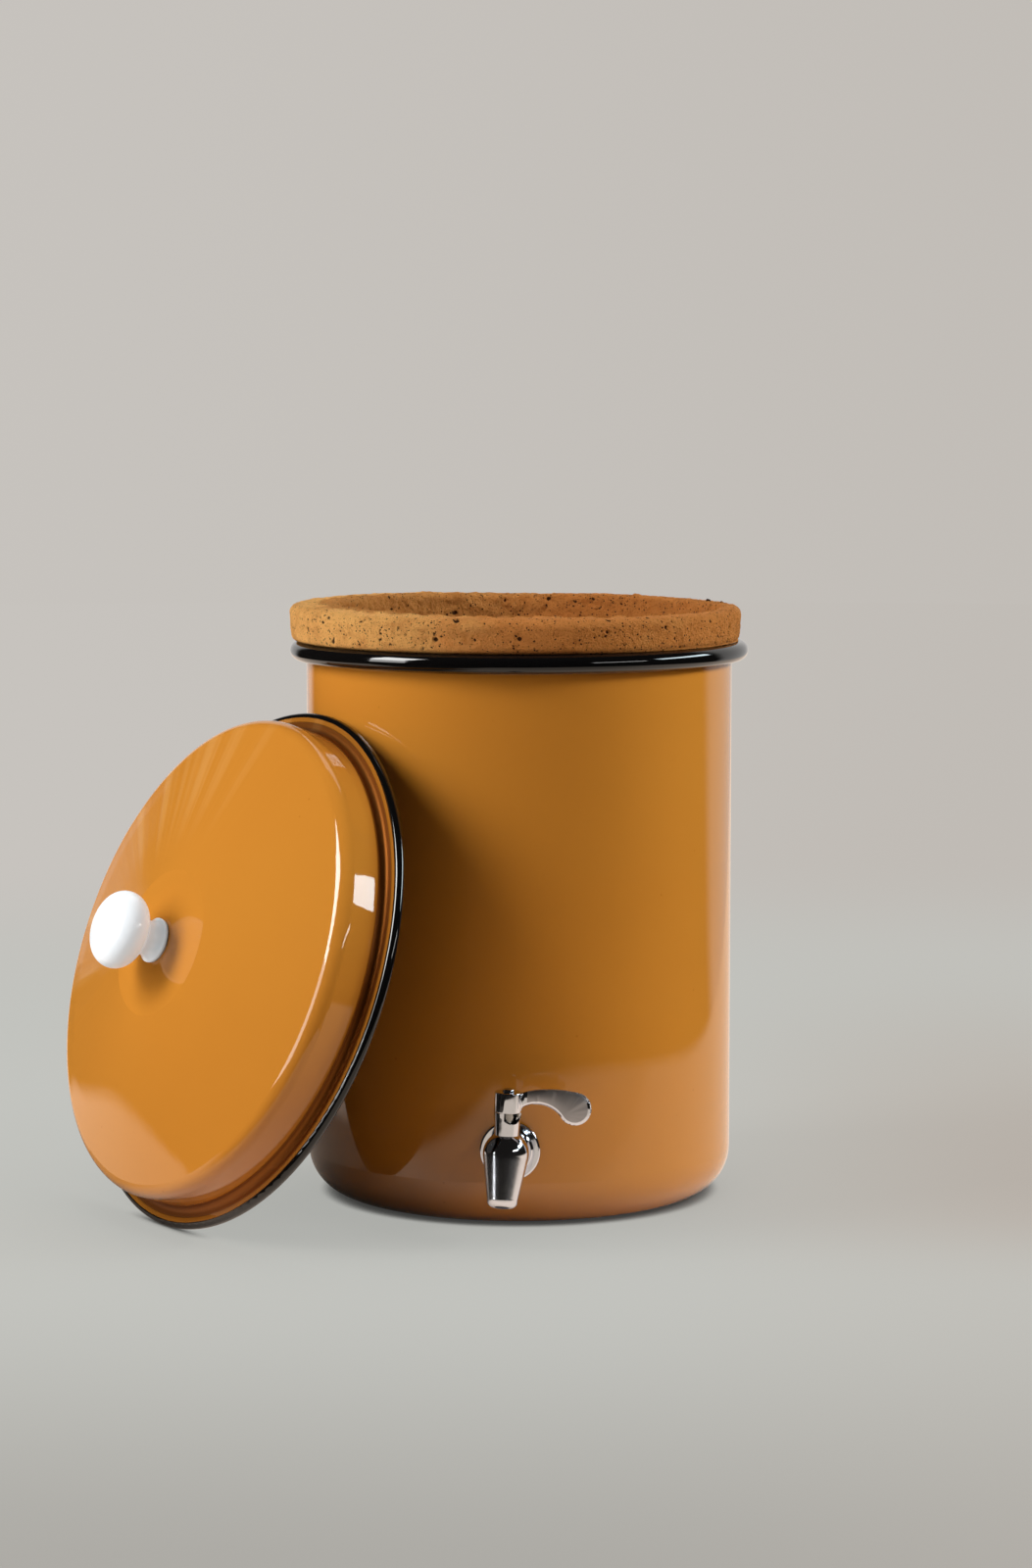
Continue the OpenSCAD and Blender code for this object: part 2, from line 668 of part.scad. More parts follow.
module tap_lever() {
    color(steel) on_barrel() difference() {
        union() {
            translate([0, 0, hub_low_z]) rotate_extrude()
                half_section(hub_d / 2, hub_d / 2, 0, hub_h, 0.6, 0.8);
            lever_blade();
        }
        translate([-stem_square / 2 - fit_gap, -stem_square / 2 - fit_gap, hub_low_z - cut])
            cube([stem_square + 2 * fit_gap, stem_square + 2 * fit_gap,
                cut + stem_square_h + socket_gap]);
        cylinder(d = lever_screw_d + 2 * hole_gap, h = hub_top_z + cut);
        rotate(pin_rest) translate([0, -pin_orbit_r, hub_low_z - cut])
            cylinder(r = pin_d / 2 + fit_gap, h = cut + pin_reach);
    }
}

module lever_screw() {
    color(steel) on_barrel() {
        translate([0, 0, hub_low_z + socket_gap])
            cylinder(d = lever_screw_d, h = hub_top_z - hub_low_z - socket_gap);
        translate([0, 0, hub_top_z]) difference() {
            rotate_extrude() intersection() {
                half_section(lever_screw_head_d / 2, lever_screw_head_d / 2, -cut,
                    lever_screw_head_h, 0, lever_screw_head_h * 0.8);
                square([lever_screw_head_d, lever_screw_head_h]);
            }
            translate([-lever_screw_head_d / 2, -lever_screw_d / 8, lever_screw_head_h / 2])
                cube([lever_screw_head_d, lever_screw_d / 4, lever_screw_head_h]);
        }
    }
}

module stop_pin() {
    color(steel) on_barrel() rotate(pin_rest) translate([0, -pin_orbit_r, hub_low_z - pin_reach])
        cylinder(d = pin_d, h = 2 * pin_reach);
}

receptacle();
filter_pot();
lid_shell();
knob();
knob_gasket();
knob_insert();
knob_screw();
knob_washer();
tap_body();
plug_seat();
retaining_ring();
outer_gasket();
inner_gasket();
clamp_washer();
tap_nut();
tap_lever();
lever_screw();
stop_pin();
tap_plug();
plug_ring(ring_upper_z);  // plug_ring_upper
plug_ring(-ring_lower_z);  // plug_ring_lower
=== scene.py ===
"""Gravity water filter with a tap: enamelled drum, clay filter pot, lid and lever tap.

Everything is in metres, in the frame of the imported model. The drum stands on z = 0 with its
axis on z and the tap at the front, towards -y. The lid leans on the drum's left side.
"""

import math
import random

import bmesh
import bpy
import numpy as np
from mathutils import Euler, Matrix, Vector


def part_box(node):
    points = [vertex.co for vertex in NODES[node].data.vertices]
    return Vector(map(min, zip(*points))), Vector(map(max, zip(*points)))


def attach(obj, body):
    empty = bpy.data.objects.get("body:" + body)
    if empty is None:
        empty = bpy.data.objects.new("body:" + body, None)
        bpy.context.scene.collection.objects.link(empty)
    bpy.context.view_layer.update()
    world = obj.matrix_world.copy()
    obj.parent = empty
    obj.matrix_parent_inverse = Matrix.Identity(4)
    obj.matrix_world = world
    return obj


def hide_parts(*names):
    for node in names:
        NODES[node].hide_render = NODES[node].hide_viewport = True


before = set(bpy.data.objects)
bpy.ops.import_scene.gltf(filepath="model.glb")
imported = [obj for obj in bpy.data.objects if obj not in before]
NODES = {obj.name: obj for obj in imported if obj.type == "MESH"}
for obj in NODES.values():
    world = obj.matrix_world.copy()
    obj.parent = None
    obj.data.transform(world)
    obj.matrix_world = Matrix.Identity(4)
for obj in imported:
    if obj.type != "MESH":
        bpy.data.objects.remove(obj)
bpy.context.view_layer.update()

# ---------------------------------------------------------------- places on the object

LID_PLACE = Vector((-0.176322, -0.102622, 0.162164))  # centre of the lid's foot plane
LID_LEAN, LID_FACING = math.radians(19.8), math.radians(-54.2)
LID_TURN = Euler((math.radians(90) - LID_LEAN, 0.0, LID_FACING))
LID_AXIS = LID_TURN.to_matrix() @ Vector((0.0, 0.0, 1.0))  # out of the lid's crown
LID_HEART = LID_PLACE - 0.05 * LID_AXIS  # a point that only the lid's inner faces look at
DRUM_HEART = (0.0, 0.0, 0.18)  # the same for the drum
LID_BLACK_R = 0.1672  # radius on the lid where its black edge starts

REST_GAP, BEAD_H = 0.0003, 0.0126
POT_LOW, POT_TOP = (corner.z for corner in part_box("filter_pot"))
RIM_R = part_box("filter_pot")[1].x  # outer radius of the clay rim
DRUM_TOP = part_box("receptacle")[1].z
SEAT_Z = DRUM_TOP + REST_GAP  # the clay rim's underside, on the drum's rolled rim
BEAD_LOW = DRUM_TOP - BEAD_H  # where the black glaze of the rolled rim ends

TAP_ROLL, TAP_YAW = math.radians(2.4), math.radians(-3.6)
LEVER_FACING = Euler((0.0, TAP_ROLL, 0.0)).to_matrix() @ Vector((0.0, -1.0, 0.0))
LEVER_FACING.rotate(Euler((0.0, 0.0, TAP_YAW)))  # the lever's flat face looks this way
LEVER_HUB_X = 0.0115  # the lever's hub ends here and its blade starts

# ---------------------------------------------------------------- camera

CAMERA_AT = Vector((0.1041, -2.6554, 0.5396))
CAMERA_DOWN, CAMERA_ASIDE = math.radians(5.787), math.radians(2.289)
FOCAL_PIXELS, LONG_SIDE, CHIP = 4116.7, 1600.0, 36.0
NEAREST, FARTHEST = 0.05, 60.0


def set_camera():
    data = bpy.data.cameras.new("camera")
    data.sensor_fit = "AUTO"
    data.sensor_width = CHIP
    data.lens = FOCAL_PIXELS / LONG_SIDE * CHIP
    data.clip_start, data.clip_end = NEAREST, FARTHEST
    camera = bpy.data.objects.new("camera", data)
    camera.location = CAMERA_AT
    camera.rotation_euler = (math.radians(90) - CAMERA_DOWN, 0.0, CAMERA_ASIDE)
    bpy.context.scene.collection.objects.link(camera)
    bpy.context.scene.camera = camera


# ---------------------------------------------------------------- shader helpers


def rgb(r, g, b):
    """A colour written as 0-255 display values, as the linear colour that shaders take."""
    out = []
    for c in (r / 255, g / 255, b / 255):
        out.append(c / 12.92 if c <= 0.04045 else ((c + 0.055) / 1.055) ** 2.4)
    return (*out, 1.0)


class Wiring:
    """Adds nodes to a tree and links them; a value may be a number, a colour or a socket."""

    def __init__(self, tree):
        self.tree = tree

    def add(self, kind, values=None, **settings):
        node = self.tree.nodes.new(kind)
        for key, value in settings.items():
            setattr(node, key, value)
        for key, value in (values or {}).items():
            self.feed(node.inputs[key], value)
        return node

    def feed(self, socket, value):
        if isinstance(value, bpy.types.NodeSocket):
            self.tree.links.new(value, socket)
        else:
            socket.default_value = value

    def math(self, operation, a, b=0.0, clamp=False):
        node = self.add("ShaderNodeMath", {0: a, 1: b}, operation=operation, use_clamp=clamp)
        return node.outputs[0]

    def chain(self, operation, first, *others):
        for value in others:
            first = self.math(operation, first, value)
        return first

    def product(self, *values):
        return self.chain("MULTIPLY", *values)

    def total(self, *values):
        return self.chain("ADD", *values)

    def largest(self, *values):
        return self.chain("MAXIMUM", *values)

    def squared(self, value):
        return self.math("POWER", value, 2.0)

    def vector(self, operation, a, b=None):
        """A vector operation; a length or a dot product comes out as a number."""
        node = self.add("ShaderNodeVectorMath", {0: a}, operation=operation)
        if b is not None:
            self.feed(node.inputs[1], b)
        return node.outputs["Value" if operation in ("LENGTH", "DOT_PRODUCT") else "Vector"]

    def parts(self, vector):
        return self.add("ShaderNodeSeparateXYZ", {0: vector}).outputs

    def off_axis(self, vector):
        """Distance of a place from the z axis."""
        return self.vector("LENGTH", self.vector("MULTIPLY", vector, (1.0, 1.0, 0.0)))

    def ramp(self, value, low, high, out_low=0.0, out_high=1.0):
        """A smooth step from out_low, where value is low, to out_high, where it is high."""
        node = self.add(
            "ShaderNodeMapRange",
            {"Value": value, "From Min": low, "From Max": high, "To Min": out_low, "To Max": out_high},
            interpolation_type="SMOOTHSTEP",
        )
        return node.outputs[0]

    def noise(self, vector, scale, detail=2.0, roughness=0.5):
        node = self.add(
            "ShaderNodeTexNoise",
            {"Vector": vector, "Scale": scale, "Detail": detail, "Roughness": roughness},
        )
        return node.outputs["Fac"]

    def cells(self, vector, scale):
        """Scattered points: the distance to the nearest, and three lots drawn for it."""
        cell = self.add("ShaderNodeTexVoronoi", {"Vector": vector, "Scale": scale}).outputs
        return cell["Distance"], self.add("ShaderNodeSeparateColor", {0: cell["Color"]}).outputs

    def mix(self, factor, a, b):
        node = self.add("ShaderNodeMix", data_type="RGBA")
        self.feed(node.inputs["Factor"], factor)
        self.feed(node.inputs[6], a)
        self.feed(node.inputs[7], b)
        return node.outputs[2]

    def bump(self, height, distance, normal=None):
        node = self.add("ShaderNodeBump", {"Height": height, "Distance": distance})
        if normal is not None:
            self.feed(node.inputs["Normal"], normal)
        return node.outputs[0]

    def shader(self, kind, **values):
        return self.add("ShaderNode" + kind, values).outputs[0]

    def blend(self, factor, a, b):
        """A mix of two shaders."""
        return self.add("ShaderNodeMixShader", {0: factor, 1: a, 2: b}).outputs[0]


def blank(owner):
    """Empties the node tree of a material or a world and returns its wiring."""
    owner.use_nodes = True
    owner.node_tree.nodes.clear()
    return Wiring(owner.node_tree)


def effect(name, inputs, outputs):
    """Starts a shader node group with named sockets; returns its tree, wiring, in and out."""
    tree = bpy.data.node_groups.new(name, "ShaderNodeTree")
    for label, kind, value in inputs:
        socket = tree.interface.new_socket(label, in_out="INPUT", socket_type=kind)
        if value is not None:
            socket.default_value = value
    for label, kind in outputs:
        tree.interface.new_socket(label, in_out="OUTPUT", socket_type=kind)
    wiring = Wiring(tree)
    return tree, wiring, wiring.add("NodeGroupInput").outputs, wiring.add("NodeGroupOutput").inputs


def use(wiring, tree, **values):
    """Places a node group in a material with its own values."""
    node = wiring.add("ShaderNodeGroup", node_tree=tree)
    for key, value in values.items():
        wiring.feed(node.inputs[key.replace("_", " ")], value)
    return node.outputs


def material(name, **constants):
    """Starts a material whose Principled shader has these constants; returns it, its wiring,
    the shader and the piece's own coordinates."""
    made = bpy.data.materials.new(name)
    wiring = blank(made)
    shader = wiring.add("ShaderNodeBsdfPrincipled")
    for key, value in constants.items():
        shader.inputs[key.replace("_", " ")].default_value = value
    output = wiring.add("ShaderNodeOutputMaterial")
    wiring.feed(output.inputs["Surface"], shader.outputs[0])
    return made, wiring, shader, wiring.add("ShaderNodeTexCoord").outputs["Object"]


# ---------------------------------------------------------------- shared effects

FLOAT, COLOR, VECTOR = "NodeSocketFloat", "NodeSocketColor", "NodeSocketVector"
OCHRE, OCHRE_THIN = rgb(214, 140, 50), rgb(192, 112, 32)
MID_GREY, DARK_GREY = (0.5, 0.5, 0.5, 1.0), (0.4, 0.4, 0.4, 1.0)

# scales are in waves or cells per metre
GLAZE_CLOUDS, GLAZE_SMEARS, GLAZE_PEEL = 5.0, 14.0, 230.0
SPECKLESS, SPECK_TINT, SPECK_DENT = 0.93, 0.55, 0.6  # share of cells without a speck, and its look
SMUDGES, LINE_SHARE, SMUDGE_SHARE = 60.0, 0.6, 0.6
MOTTLE_SCALE, GRAIN_ROUGHNESS = 0.12, 0.12


def make_glaze():
    """Vitreous enamel: cloudy colour, pin specks, orange peel and slow waves of the sheet."""
    tree, w, given, out = effect(
        "vitreous_glaze",
        [("Vector", VECTOR, None), ("Color", COLOR, OCHRE), ("Thin Color", COLOR, OCHRE_THIN),
         ("Roughness", FLOAT, 0.06), ("Speck Scale", FLOAT, 120.0), ("Wave Scale", FLOAT, 9.0)],
        [("Color", COLOR), ("Roughness", FLOAT), ("Peel", FLOAT), ("Wave", FLOAT)],
    )
    here, rough = given["Vector"], given["Roughness"]
    cloud = w.ramp(w.noise(here, GLAZE_CLOUDS, 3.0), 0.3, 0.75, 0.0, 0.16)
    tone = w.mix(cloud, given["Color"], given["Thin Color"])
    off, lots = w.cells(here, given["Speck Scale"])
    dot = w.product(w.ramp(off, 0.10, 0.05), w.math("GREATER_THAN", lots[0], SPECKLESS))
    w.feed(out["Color"], w.mix(w.product(dot, SPECK_TINT), tone, given["Thin Color"]))
    smear = w.ramp(w.noise(here, GLAZE_SMEARS, 4.0, 0.6), 0.35, 0.75, -0.2, 0.45)
    w.feed(out["Roughness"], w.total(rough, w.product(rough, smear)))
    peel = w.noise(here, GLAZE_PEEL)
    w.feed(out["Peel"], w.math("SUBTRACT", peel, w.product(dot, SPECK_DENT)))
    w.feed(out["Wave"], w.noise(here, given["Wave Scale"], 1.0, 0.4))
    return tree


def make_polishing_lines():
    """Fine polishing lines and small smudges of a hand-polished metal face."""
    tree, w, given, out = effect(
        "polishing_lines",
        [("Vector", VECTOR, None), ("Roughness", FLOAT, 0.1), ("Spread", FLOAT, 0.06),
         ("Grain", VECTOR, (900.0, 900.0, 60.0))],
        [("Roughness", FLOAT), ("Height", FLOAT), ("Tint", FLOAT)],
    )
    lines = w.noise(w.vector("MULTIPLY", given["Vector"], given["Grain"]), 1.0, 3.0, 0.6)
    smudge = w.noise(given["Vector"], SMUDGES, 3.0, 0.6)
    both = w.total(w.product(lines, LINE_SHARE), w.product(smudge, SMUDGE_SHARE))
    w.feed(out["Roughness"], w.total(given["Roughness"], w.product(both, given["Spread"])))
    w.feed(out["Height"], lines)
    w.feed(out["Tint"], smudge)
    return tree


def make_grain():
    """Fine moulded or pressed grain with a faint mottling, for porcelain, rubber and plastic."""
    tree, w, given, out = effect(
        "moulded_grain",
        [("Vector", VECTOR, None), ("Color", COLOR, MID_GREY), ("Mottle Color", COLOR, DARK_GREY),
         ("Roughness", FLOAT, 0.5), ("Scale", FLOAT, 400.0)],
        [("Color", COLOR), ("Roughness", FLOAT), ("Height", FLOAT)],
    )
    mottle = w.noise(given["Vector"], w.product(given["Scale"], MOTTLE_SCALE), 3.0, 0.6)
    fine = w.noise(given["Vector"], given["Scale"], 2.0, 0.6)
    w.feed(out["Color"], w.mix(w.ramp(mottle, 0.35, 0.7), given["Color"], given["Mottle Color"]))
    w.feed(out["Roughness"], w.total(given["Roughness"], w.product(fine, GRAIN_ROUGHNESS)))
    w.feed(out["Height"], fine)
    return tree


# ---------------------------------------------------------------- enamel

# painted tones: the first two are painted shade for the lid's flange and groove, the third a painted
# reflection for the crown's streaks
OCHRE_FLANGE_SHADE, OCHRE_GROOVE_SHADE, OCHRE_SHEEN = rgb(96, 54, 14), rgb(134, 76, 20), rgb(240, 184, 112)
BLACK_GLAZE, BLACK_THIN = rgb(10, 10, 11), rgb(24, 17, 12)
OCHRE_ROUGHNESS, BLACK_ROUGHNESS, BLACK_DULLS = 0.035, 0.05, 0.02
HOLLOW_METAL, HOLLOW_DULLS = 0.85, 0.45  # metallic and rougher in the groove: with its dark tone, painted shade that also dims the lamps' reflection there
SHEET_WAVE, PEEL_DEPTH, BLACK_STEP = 0.0009, 0.000012, 0.00012  # heights of the relief
BLACK_EDGE = (0.0002, 0.0007)  # the black glaze takes over between these distances
EDGE_WANDER = 0.0008

# heights above the lid's foot plane and radii on the lid
FLANGE_TOP = (0.0065, 0.0030)
# painted shade: near the foot plane the lid is darkened inside the first pair of radii, and more in the
# groove inside the second
FLANGE_SHADE_R, FLANGE_SHADE_SHARE = (0.1692, 0.1686), 0.52
HOLLOW_R, HOLLOW_SHARE = (0.1648, 0.1632), 0.40
WAVES_START_R, WAVES_END_R, SHEEN_R = (0.045, 0.10), (0.150, 0.135), (0.060, 0.125)
STREAKED_SIDE = (-0.8, 0.6, 0.0)  # the painted reflection streaks fan out on this side of the crown
SPOKES, SHEEN_SHARE = 8.0, 0.28


def inner_face(w, heart):
    """1 on the faces that look towards the point heart, inside the vessel, and 0 outside."""
    given = w.add("ShaderNodeTexCoord").outputs
    facing = w.vector("DOT_PRODUCT", w.vector("SUBTRACT", given["Object"], heart), given["Normal"])
    return w.math("LESS_THAN", facing, 0.0)


def black_from(w, here, height, edge, scale):
    """1 where height is past edge, with an edge that wanders a little."""
    uneven = w.product(w.noise(here, scale), EDGE_WANDER)
    return w.ramp(w.total(height, uneven), edge + BLACK_EDGE[0], edge + BLACK_EDGE[1])


def rim_black(w, here):
    return black_from(w, here, w.parts(here)[2], BEAD_LOW, 22.0)


def edge_black(w, here):
    return black_from(w, here, w.off_axis(here), LID_BLACK_R, 30.0)


def groove(w, here):
    """Painted shade near the lid's foot: a share on the flange, more in the hollow where the wall meets it;
    returns that share and the hollow.
    """
    radius, low = w.off_axis(here), w.ramp(w.parts(here)[2], *FLANGE_TOP)
    hollow = w.product(low, w.ramp(radius, *HOLLOW_R))
    flange_shade = w.product(low, w.ramp(radius, *FLANGE_SHADE_R, 0.0, FLANGE_SHADE_SHARE))
    return w.total(flange_shade, w.product(hollow, HOLLOW_SHARE)), hollow


def spokes(w, here):
    """Faint radial waves of the pressed crown, and pale streaks of painted reflection on one side of it."""
    radius = w.off_axis(here)
    ray = w.vector("NORMALIZE", w.vector("MULTIPLY", here, (1.0, 1.0, 0.0)))
    swell = w.noise(ray, SPOKES)
    aside = w.vector("DOT_PRODUCT", ray, STREAKED_SIDE)
    reach = w.product(w.ramp(radius, *WAVES_START_R), w.ramp(radius, *WAVES_END_R))
    waves = w.product(swell, reach, w.ramp(aside, -0.1, 0.6, 0.06, 0.40))
    # painted reflection: pale streaks where the waves swell, on one side of the crown
    sheen = w.ramp(swell, 0.46, 0.66, 0.0, SHEEN_SHARE)
    return waves, w.product(sheen, w.ramp(aside, 0.40, 0.80), w.ramp(radius, *SHEEN_R))


def enamel(name, glaze, black_mask, heart, on_lid=False):
    """Ochre enamel over steel; the black ground glaze shows inside and where black_mask says so."""
    made, w, shader, here = material(name, IOR=1.55)
    inside = inner_face(w, heart)
    if on_lid:
        here = w.add(
            "ShaderNodeMapping", {"Vector": here, "Location": LID_PLACE, "Rotation": LID_TURN},
            vector_type="TEXTURE",
        ).outputs[0]
    ochre = use(w, glaze, Vector=here, Color=OCHRE, Thin_Color=OCHRE_THIN,
                Roughness=OCHRE_ROUGHNESS, Speck_Scale=95.0)
    black = use(w, glaze, Vector=here, Color=BLACK_GLAZE, Thin_Color=BLACK_THIN,
                Roughness=BLACK_ROUGHNESS, Speck_Scale=160.0)
    mask = w.largest(black_mask(w, here), inside)
    coat, waves, dull = ochre["Color"], ochre["Wave"], w.product(mask, BLACK_DULLS)
    if on_lid:
        # painted shade: the flange and the groove at the lid's foot are darkened, the groove most
        shade_share, hollow = groove(w, here)
        # the crown's pale streaks are a painted reflection
        pressed, pale = spokes(w, here)
        for share, tone in ((shade_share, OCHRE_FLANGE_SHADE), (hollow, OCHRE_GROOVE_SHADE), (pale, OCHRE_SHEEN)):
            coat = w.mix(share, coat, tone)
        w.feed(shader.inputs["Metallic"], w.product(hollow, HOLLOW_METAL))
        dull = w.total(dull, w.product(hollow, HOLLOW_DULLS))
        waves = w.total(waves, pressed)
    w.feed(shader.inputs["Base Color"], w.mix(mask, coat, black["Color"]))
    w.feed(shader.inputs["Roughness"], w.total(dull, ochre["Roughness"]))
    relief = w.bump(waves, SHEET_WAVE)
    relief = w.bump(ochre["Peel"], PEEL_DEPTH, relief)
    w.feed(shader.inputs["Normal"], w.bump(mask, BLACK_STEP, relief))
    return made


# ---------------------------------------------------------------- fired clay

CLAY_BODY, CLAY_PALE, CLAY_DEEP = rgb(246, 162, 84), rgb(255, 190, 108), rgb(208, 128, 60)
# the first of these tones is painted shade for the right side and the inside, the last painted shade for
# pores and pits
CLAY_SHADE, CLAY_GRIT, CLAY_HOLE_SHADE = rgb(188, 112, 48), rgb(150, 86, 38), rgb(44, 24, 12)
CLAY_CLOUDS, CLAY_STAINS, CLAY_PATCHES, SAND_GRAINS, CRUMBS = 14.0, 58.0, 26.0, 820.0, 240.0
LIT_LEFT_X, SHADE_RIGHT_X, SHADE_INSIDE_R = (0.05, -0.13), (-0.10, 0.0), (0.134, 0.130)  # painted light on the left, painted shade on the right and inside the rim
PORE_BEND, PORE_WANDER = 0.9, 1.3  # how ragged the pores are, and the scale of it
PORES = (  # cells per metre, size of a pore in its cell, and the share of cells without one
    (620.0, 0.32, 0.74),
    (310.0, 0.24, 0.84),
    (150.0, 0.15, 0.93),
)
# painted shade in the pores and pits: how far each darkens
PORE_SHADE, PIT_SHADE = 0.88, 0.93
CLAY_CRUMB, CLAY_SAND, PORE_DEPTH = 0.0032, 0.0011, -0.0012  # heights of the relief


def pores_of(w, here, patch, scale, size, without):
    """A mask of ragged pores, denser where patch is high."""
    wander = w.add("ShaderNodeTexNoise", {"Vector": here, "Scale": scale * PORE_WANDER, "Detail": 2.0})
    shift = w.add(
        "ShaderNodeVectorMath", {0: wander.outputs["Color"], "Scale": PORE_BEND / scale}, operation="SCALE"
    )
    off, lots = w.cells(w.vector("ADD", here, shift.outputs[0]), scale)
    kept = w.math("GREATER_THAN", w.total(lots[0], patch), without)
    reach = w.product(w.total(lots[1], 0.45), size)
    return w.product(w.ramp(w.math("SUBTRACT", reach, off), 0.0, 0.09), kept)


def fired_clay():
    """Pressed and fired clay: cloudy sandy tones, grit, small pores and larger pits, with painted light on
    its left, painted shade on its right and inside, and painted shade in the pores and pits.
    """
    made, w, shader, here = material("fired_clay", IOR=1.45, Specular_IOR_Level=0.22)
    across = w.parts(here)[0]
    # painted light: the clay's cloudy tone turns paler towards the left
    cloud = w.total(w.noise(here, CLAY_CLOUDS, 4.0, 0.6), w.ramp(across, *LIT_LEFT_X, -0.12, 0.30))
    tone = w.mix(w.ramp(cloud, 0.42, 0.68), CLAY_BODY, CLAY_PALE)
    stain = w.ramp(w.noise(here, CLAY_STAINS, 5.0, 0.7), 0.46, 0.70, 0.0, 0.60)
    tone = w.mix(stain, tone, CLAY_DEEP)
    # painted shade: darker towards the right and on the inside
    shade_right = w.ramp(across, *SHADE_RIGHT_X, 0.0, 0.44)
    shade_inside = w.ramp(w.off_axis(here), *SHADE_INSIDE_R, 0.0, 0.65)
    tone = w.mix(w.largest(shade_right, shade_inside), tone, CLAY_SHADE)
    sand = w.noise(here, SAND_GRAINS, 2.0, 0.7)
    tone = w.mix(w.ramp(sand, 0.55, 0.70, 0.0, 0.62), tone, CLAY_GRIT)
    patch = w.product(w.math("SUBTRACT", w.noise(here, CLAY_PATCHES), 0.5), 0.9)
    pores = w.largest(*(pores_of(w, here, patch, *kind) for kind in PORES))
    pit = w.add("ShaderNodeAttribute", attribute_name="pit").outputs["Fac"]
    ragged = w.product(w.math("SUBTRACT", sand, 0.5), 0.5)
    pit = w.ramp(w.total(pit, ragged), 0.35, 0.62)
    # painted shade: pores and pits darken towards the hole tone
    hole_shade = w.largest(w.product(pores, PORE_SHADE), w.product(pit, PIT_SHADE))
    w.feed(shader.inputs["Base Color"], w.mix(hole_shade, tone, CLAY_HOLE_SHADE))
    w.feed(shader.inputs["Roughness"], w.ramp(sand, 0.3, 0.7, 0.84, 0.97))
    relief = w.bump(w.noise(here, CRUMBS, 6.0, 0.75), CLAY_CRUMB)
    relief = w.bump(sand, CLAY_SAND, relief)
    w.feed(shader.inputs["Normal"], w.bump(pores, PORE_DEPTH, relief))
    return made


# ---------------------------------------------------------------- metal, porcelain and rubber

SPOUT_Z, SPOUT_Y, SPOUT_DULLS = (0.058, 0.052), (-0.158, -0.164), 0.13
STEEL, SATIN_STEEL, TURNED_STEEL = rgb(222, 225, 232), rgb(188, 186, 188), rgb(190, 188, 184)
ZINC, BRASS = rgb(188, 190, 192), rgb(200, 164, 92)
SMUDGED, CAST_WAVES = 0.86, 75.0  # brightness under a smudge, and the scale of the cast surface
# painted light: the knob's porcelain glows a little, to lift its shaded side
PORCELAIN_FILL_GLOW = rgb(214, 243, 255)


def metal(name, lines, color, roughness, spread, grain, depth=0.000006, cast_depth=0.00014,
          dull_spout=False):
    """Polished or brushed metal; dull_spout makes the tap's spout a little rougher."""
    made, w, shader, here = material(name, Metallic=1.0)
    if dull_spout:
        parts = w.parts(here)
        spout = w.product(w.ramp(parts[2], *SPOUT_Z), w.ramp(parts[1], *SPOUT_Y))
        roughness = w.total(w.product(spout, SPOUT_DULLS), roughness)
    fine = use(w, lines, Vector=here, Roughness=roughness, Spread=spread, Grain=grain)
    darker = (*(SMUDGED * c for c in color[:3]), 1.0)
    w.feed(shader.inputs["Base Color"], w.mix(fine["Tint"], color, darker))
    w.feed(shader.inputs["Roughness"], fine["Roughness"])
    cast = w.bump(w.noise(here, CAST_WAVES), cast_depth)
    w.feed(shader.inputs["Normal"], w.bump(fine["Height"], depth, cast))
    return made


def grained(name, grain, color, mottle, roughness, scale, depth=0.00004, **constants):
    """A moulded or glazed finish with a fine grain."""
    made, w, shader, here = material(name, **constants)
    fine = use(w, grain, Vector=here, Color=color, Mottle_Color=mottle, Roughness=roughness, Scale=scale)
    w.feed(shader.inputs["Base Color"], fine["Color"])
    w.feed(shader.inputs["Roughness"], fine["Roughness"])
    w.feed(shader.inputs["Normal"], w.bump(fine["Height"], depth))
    return made


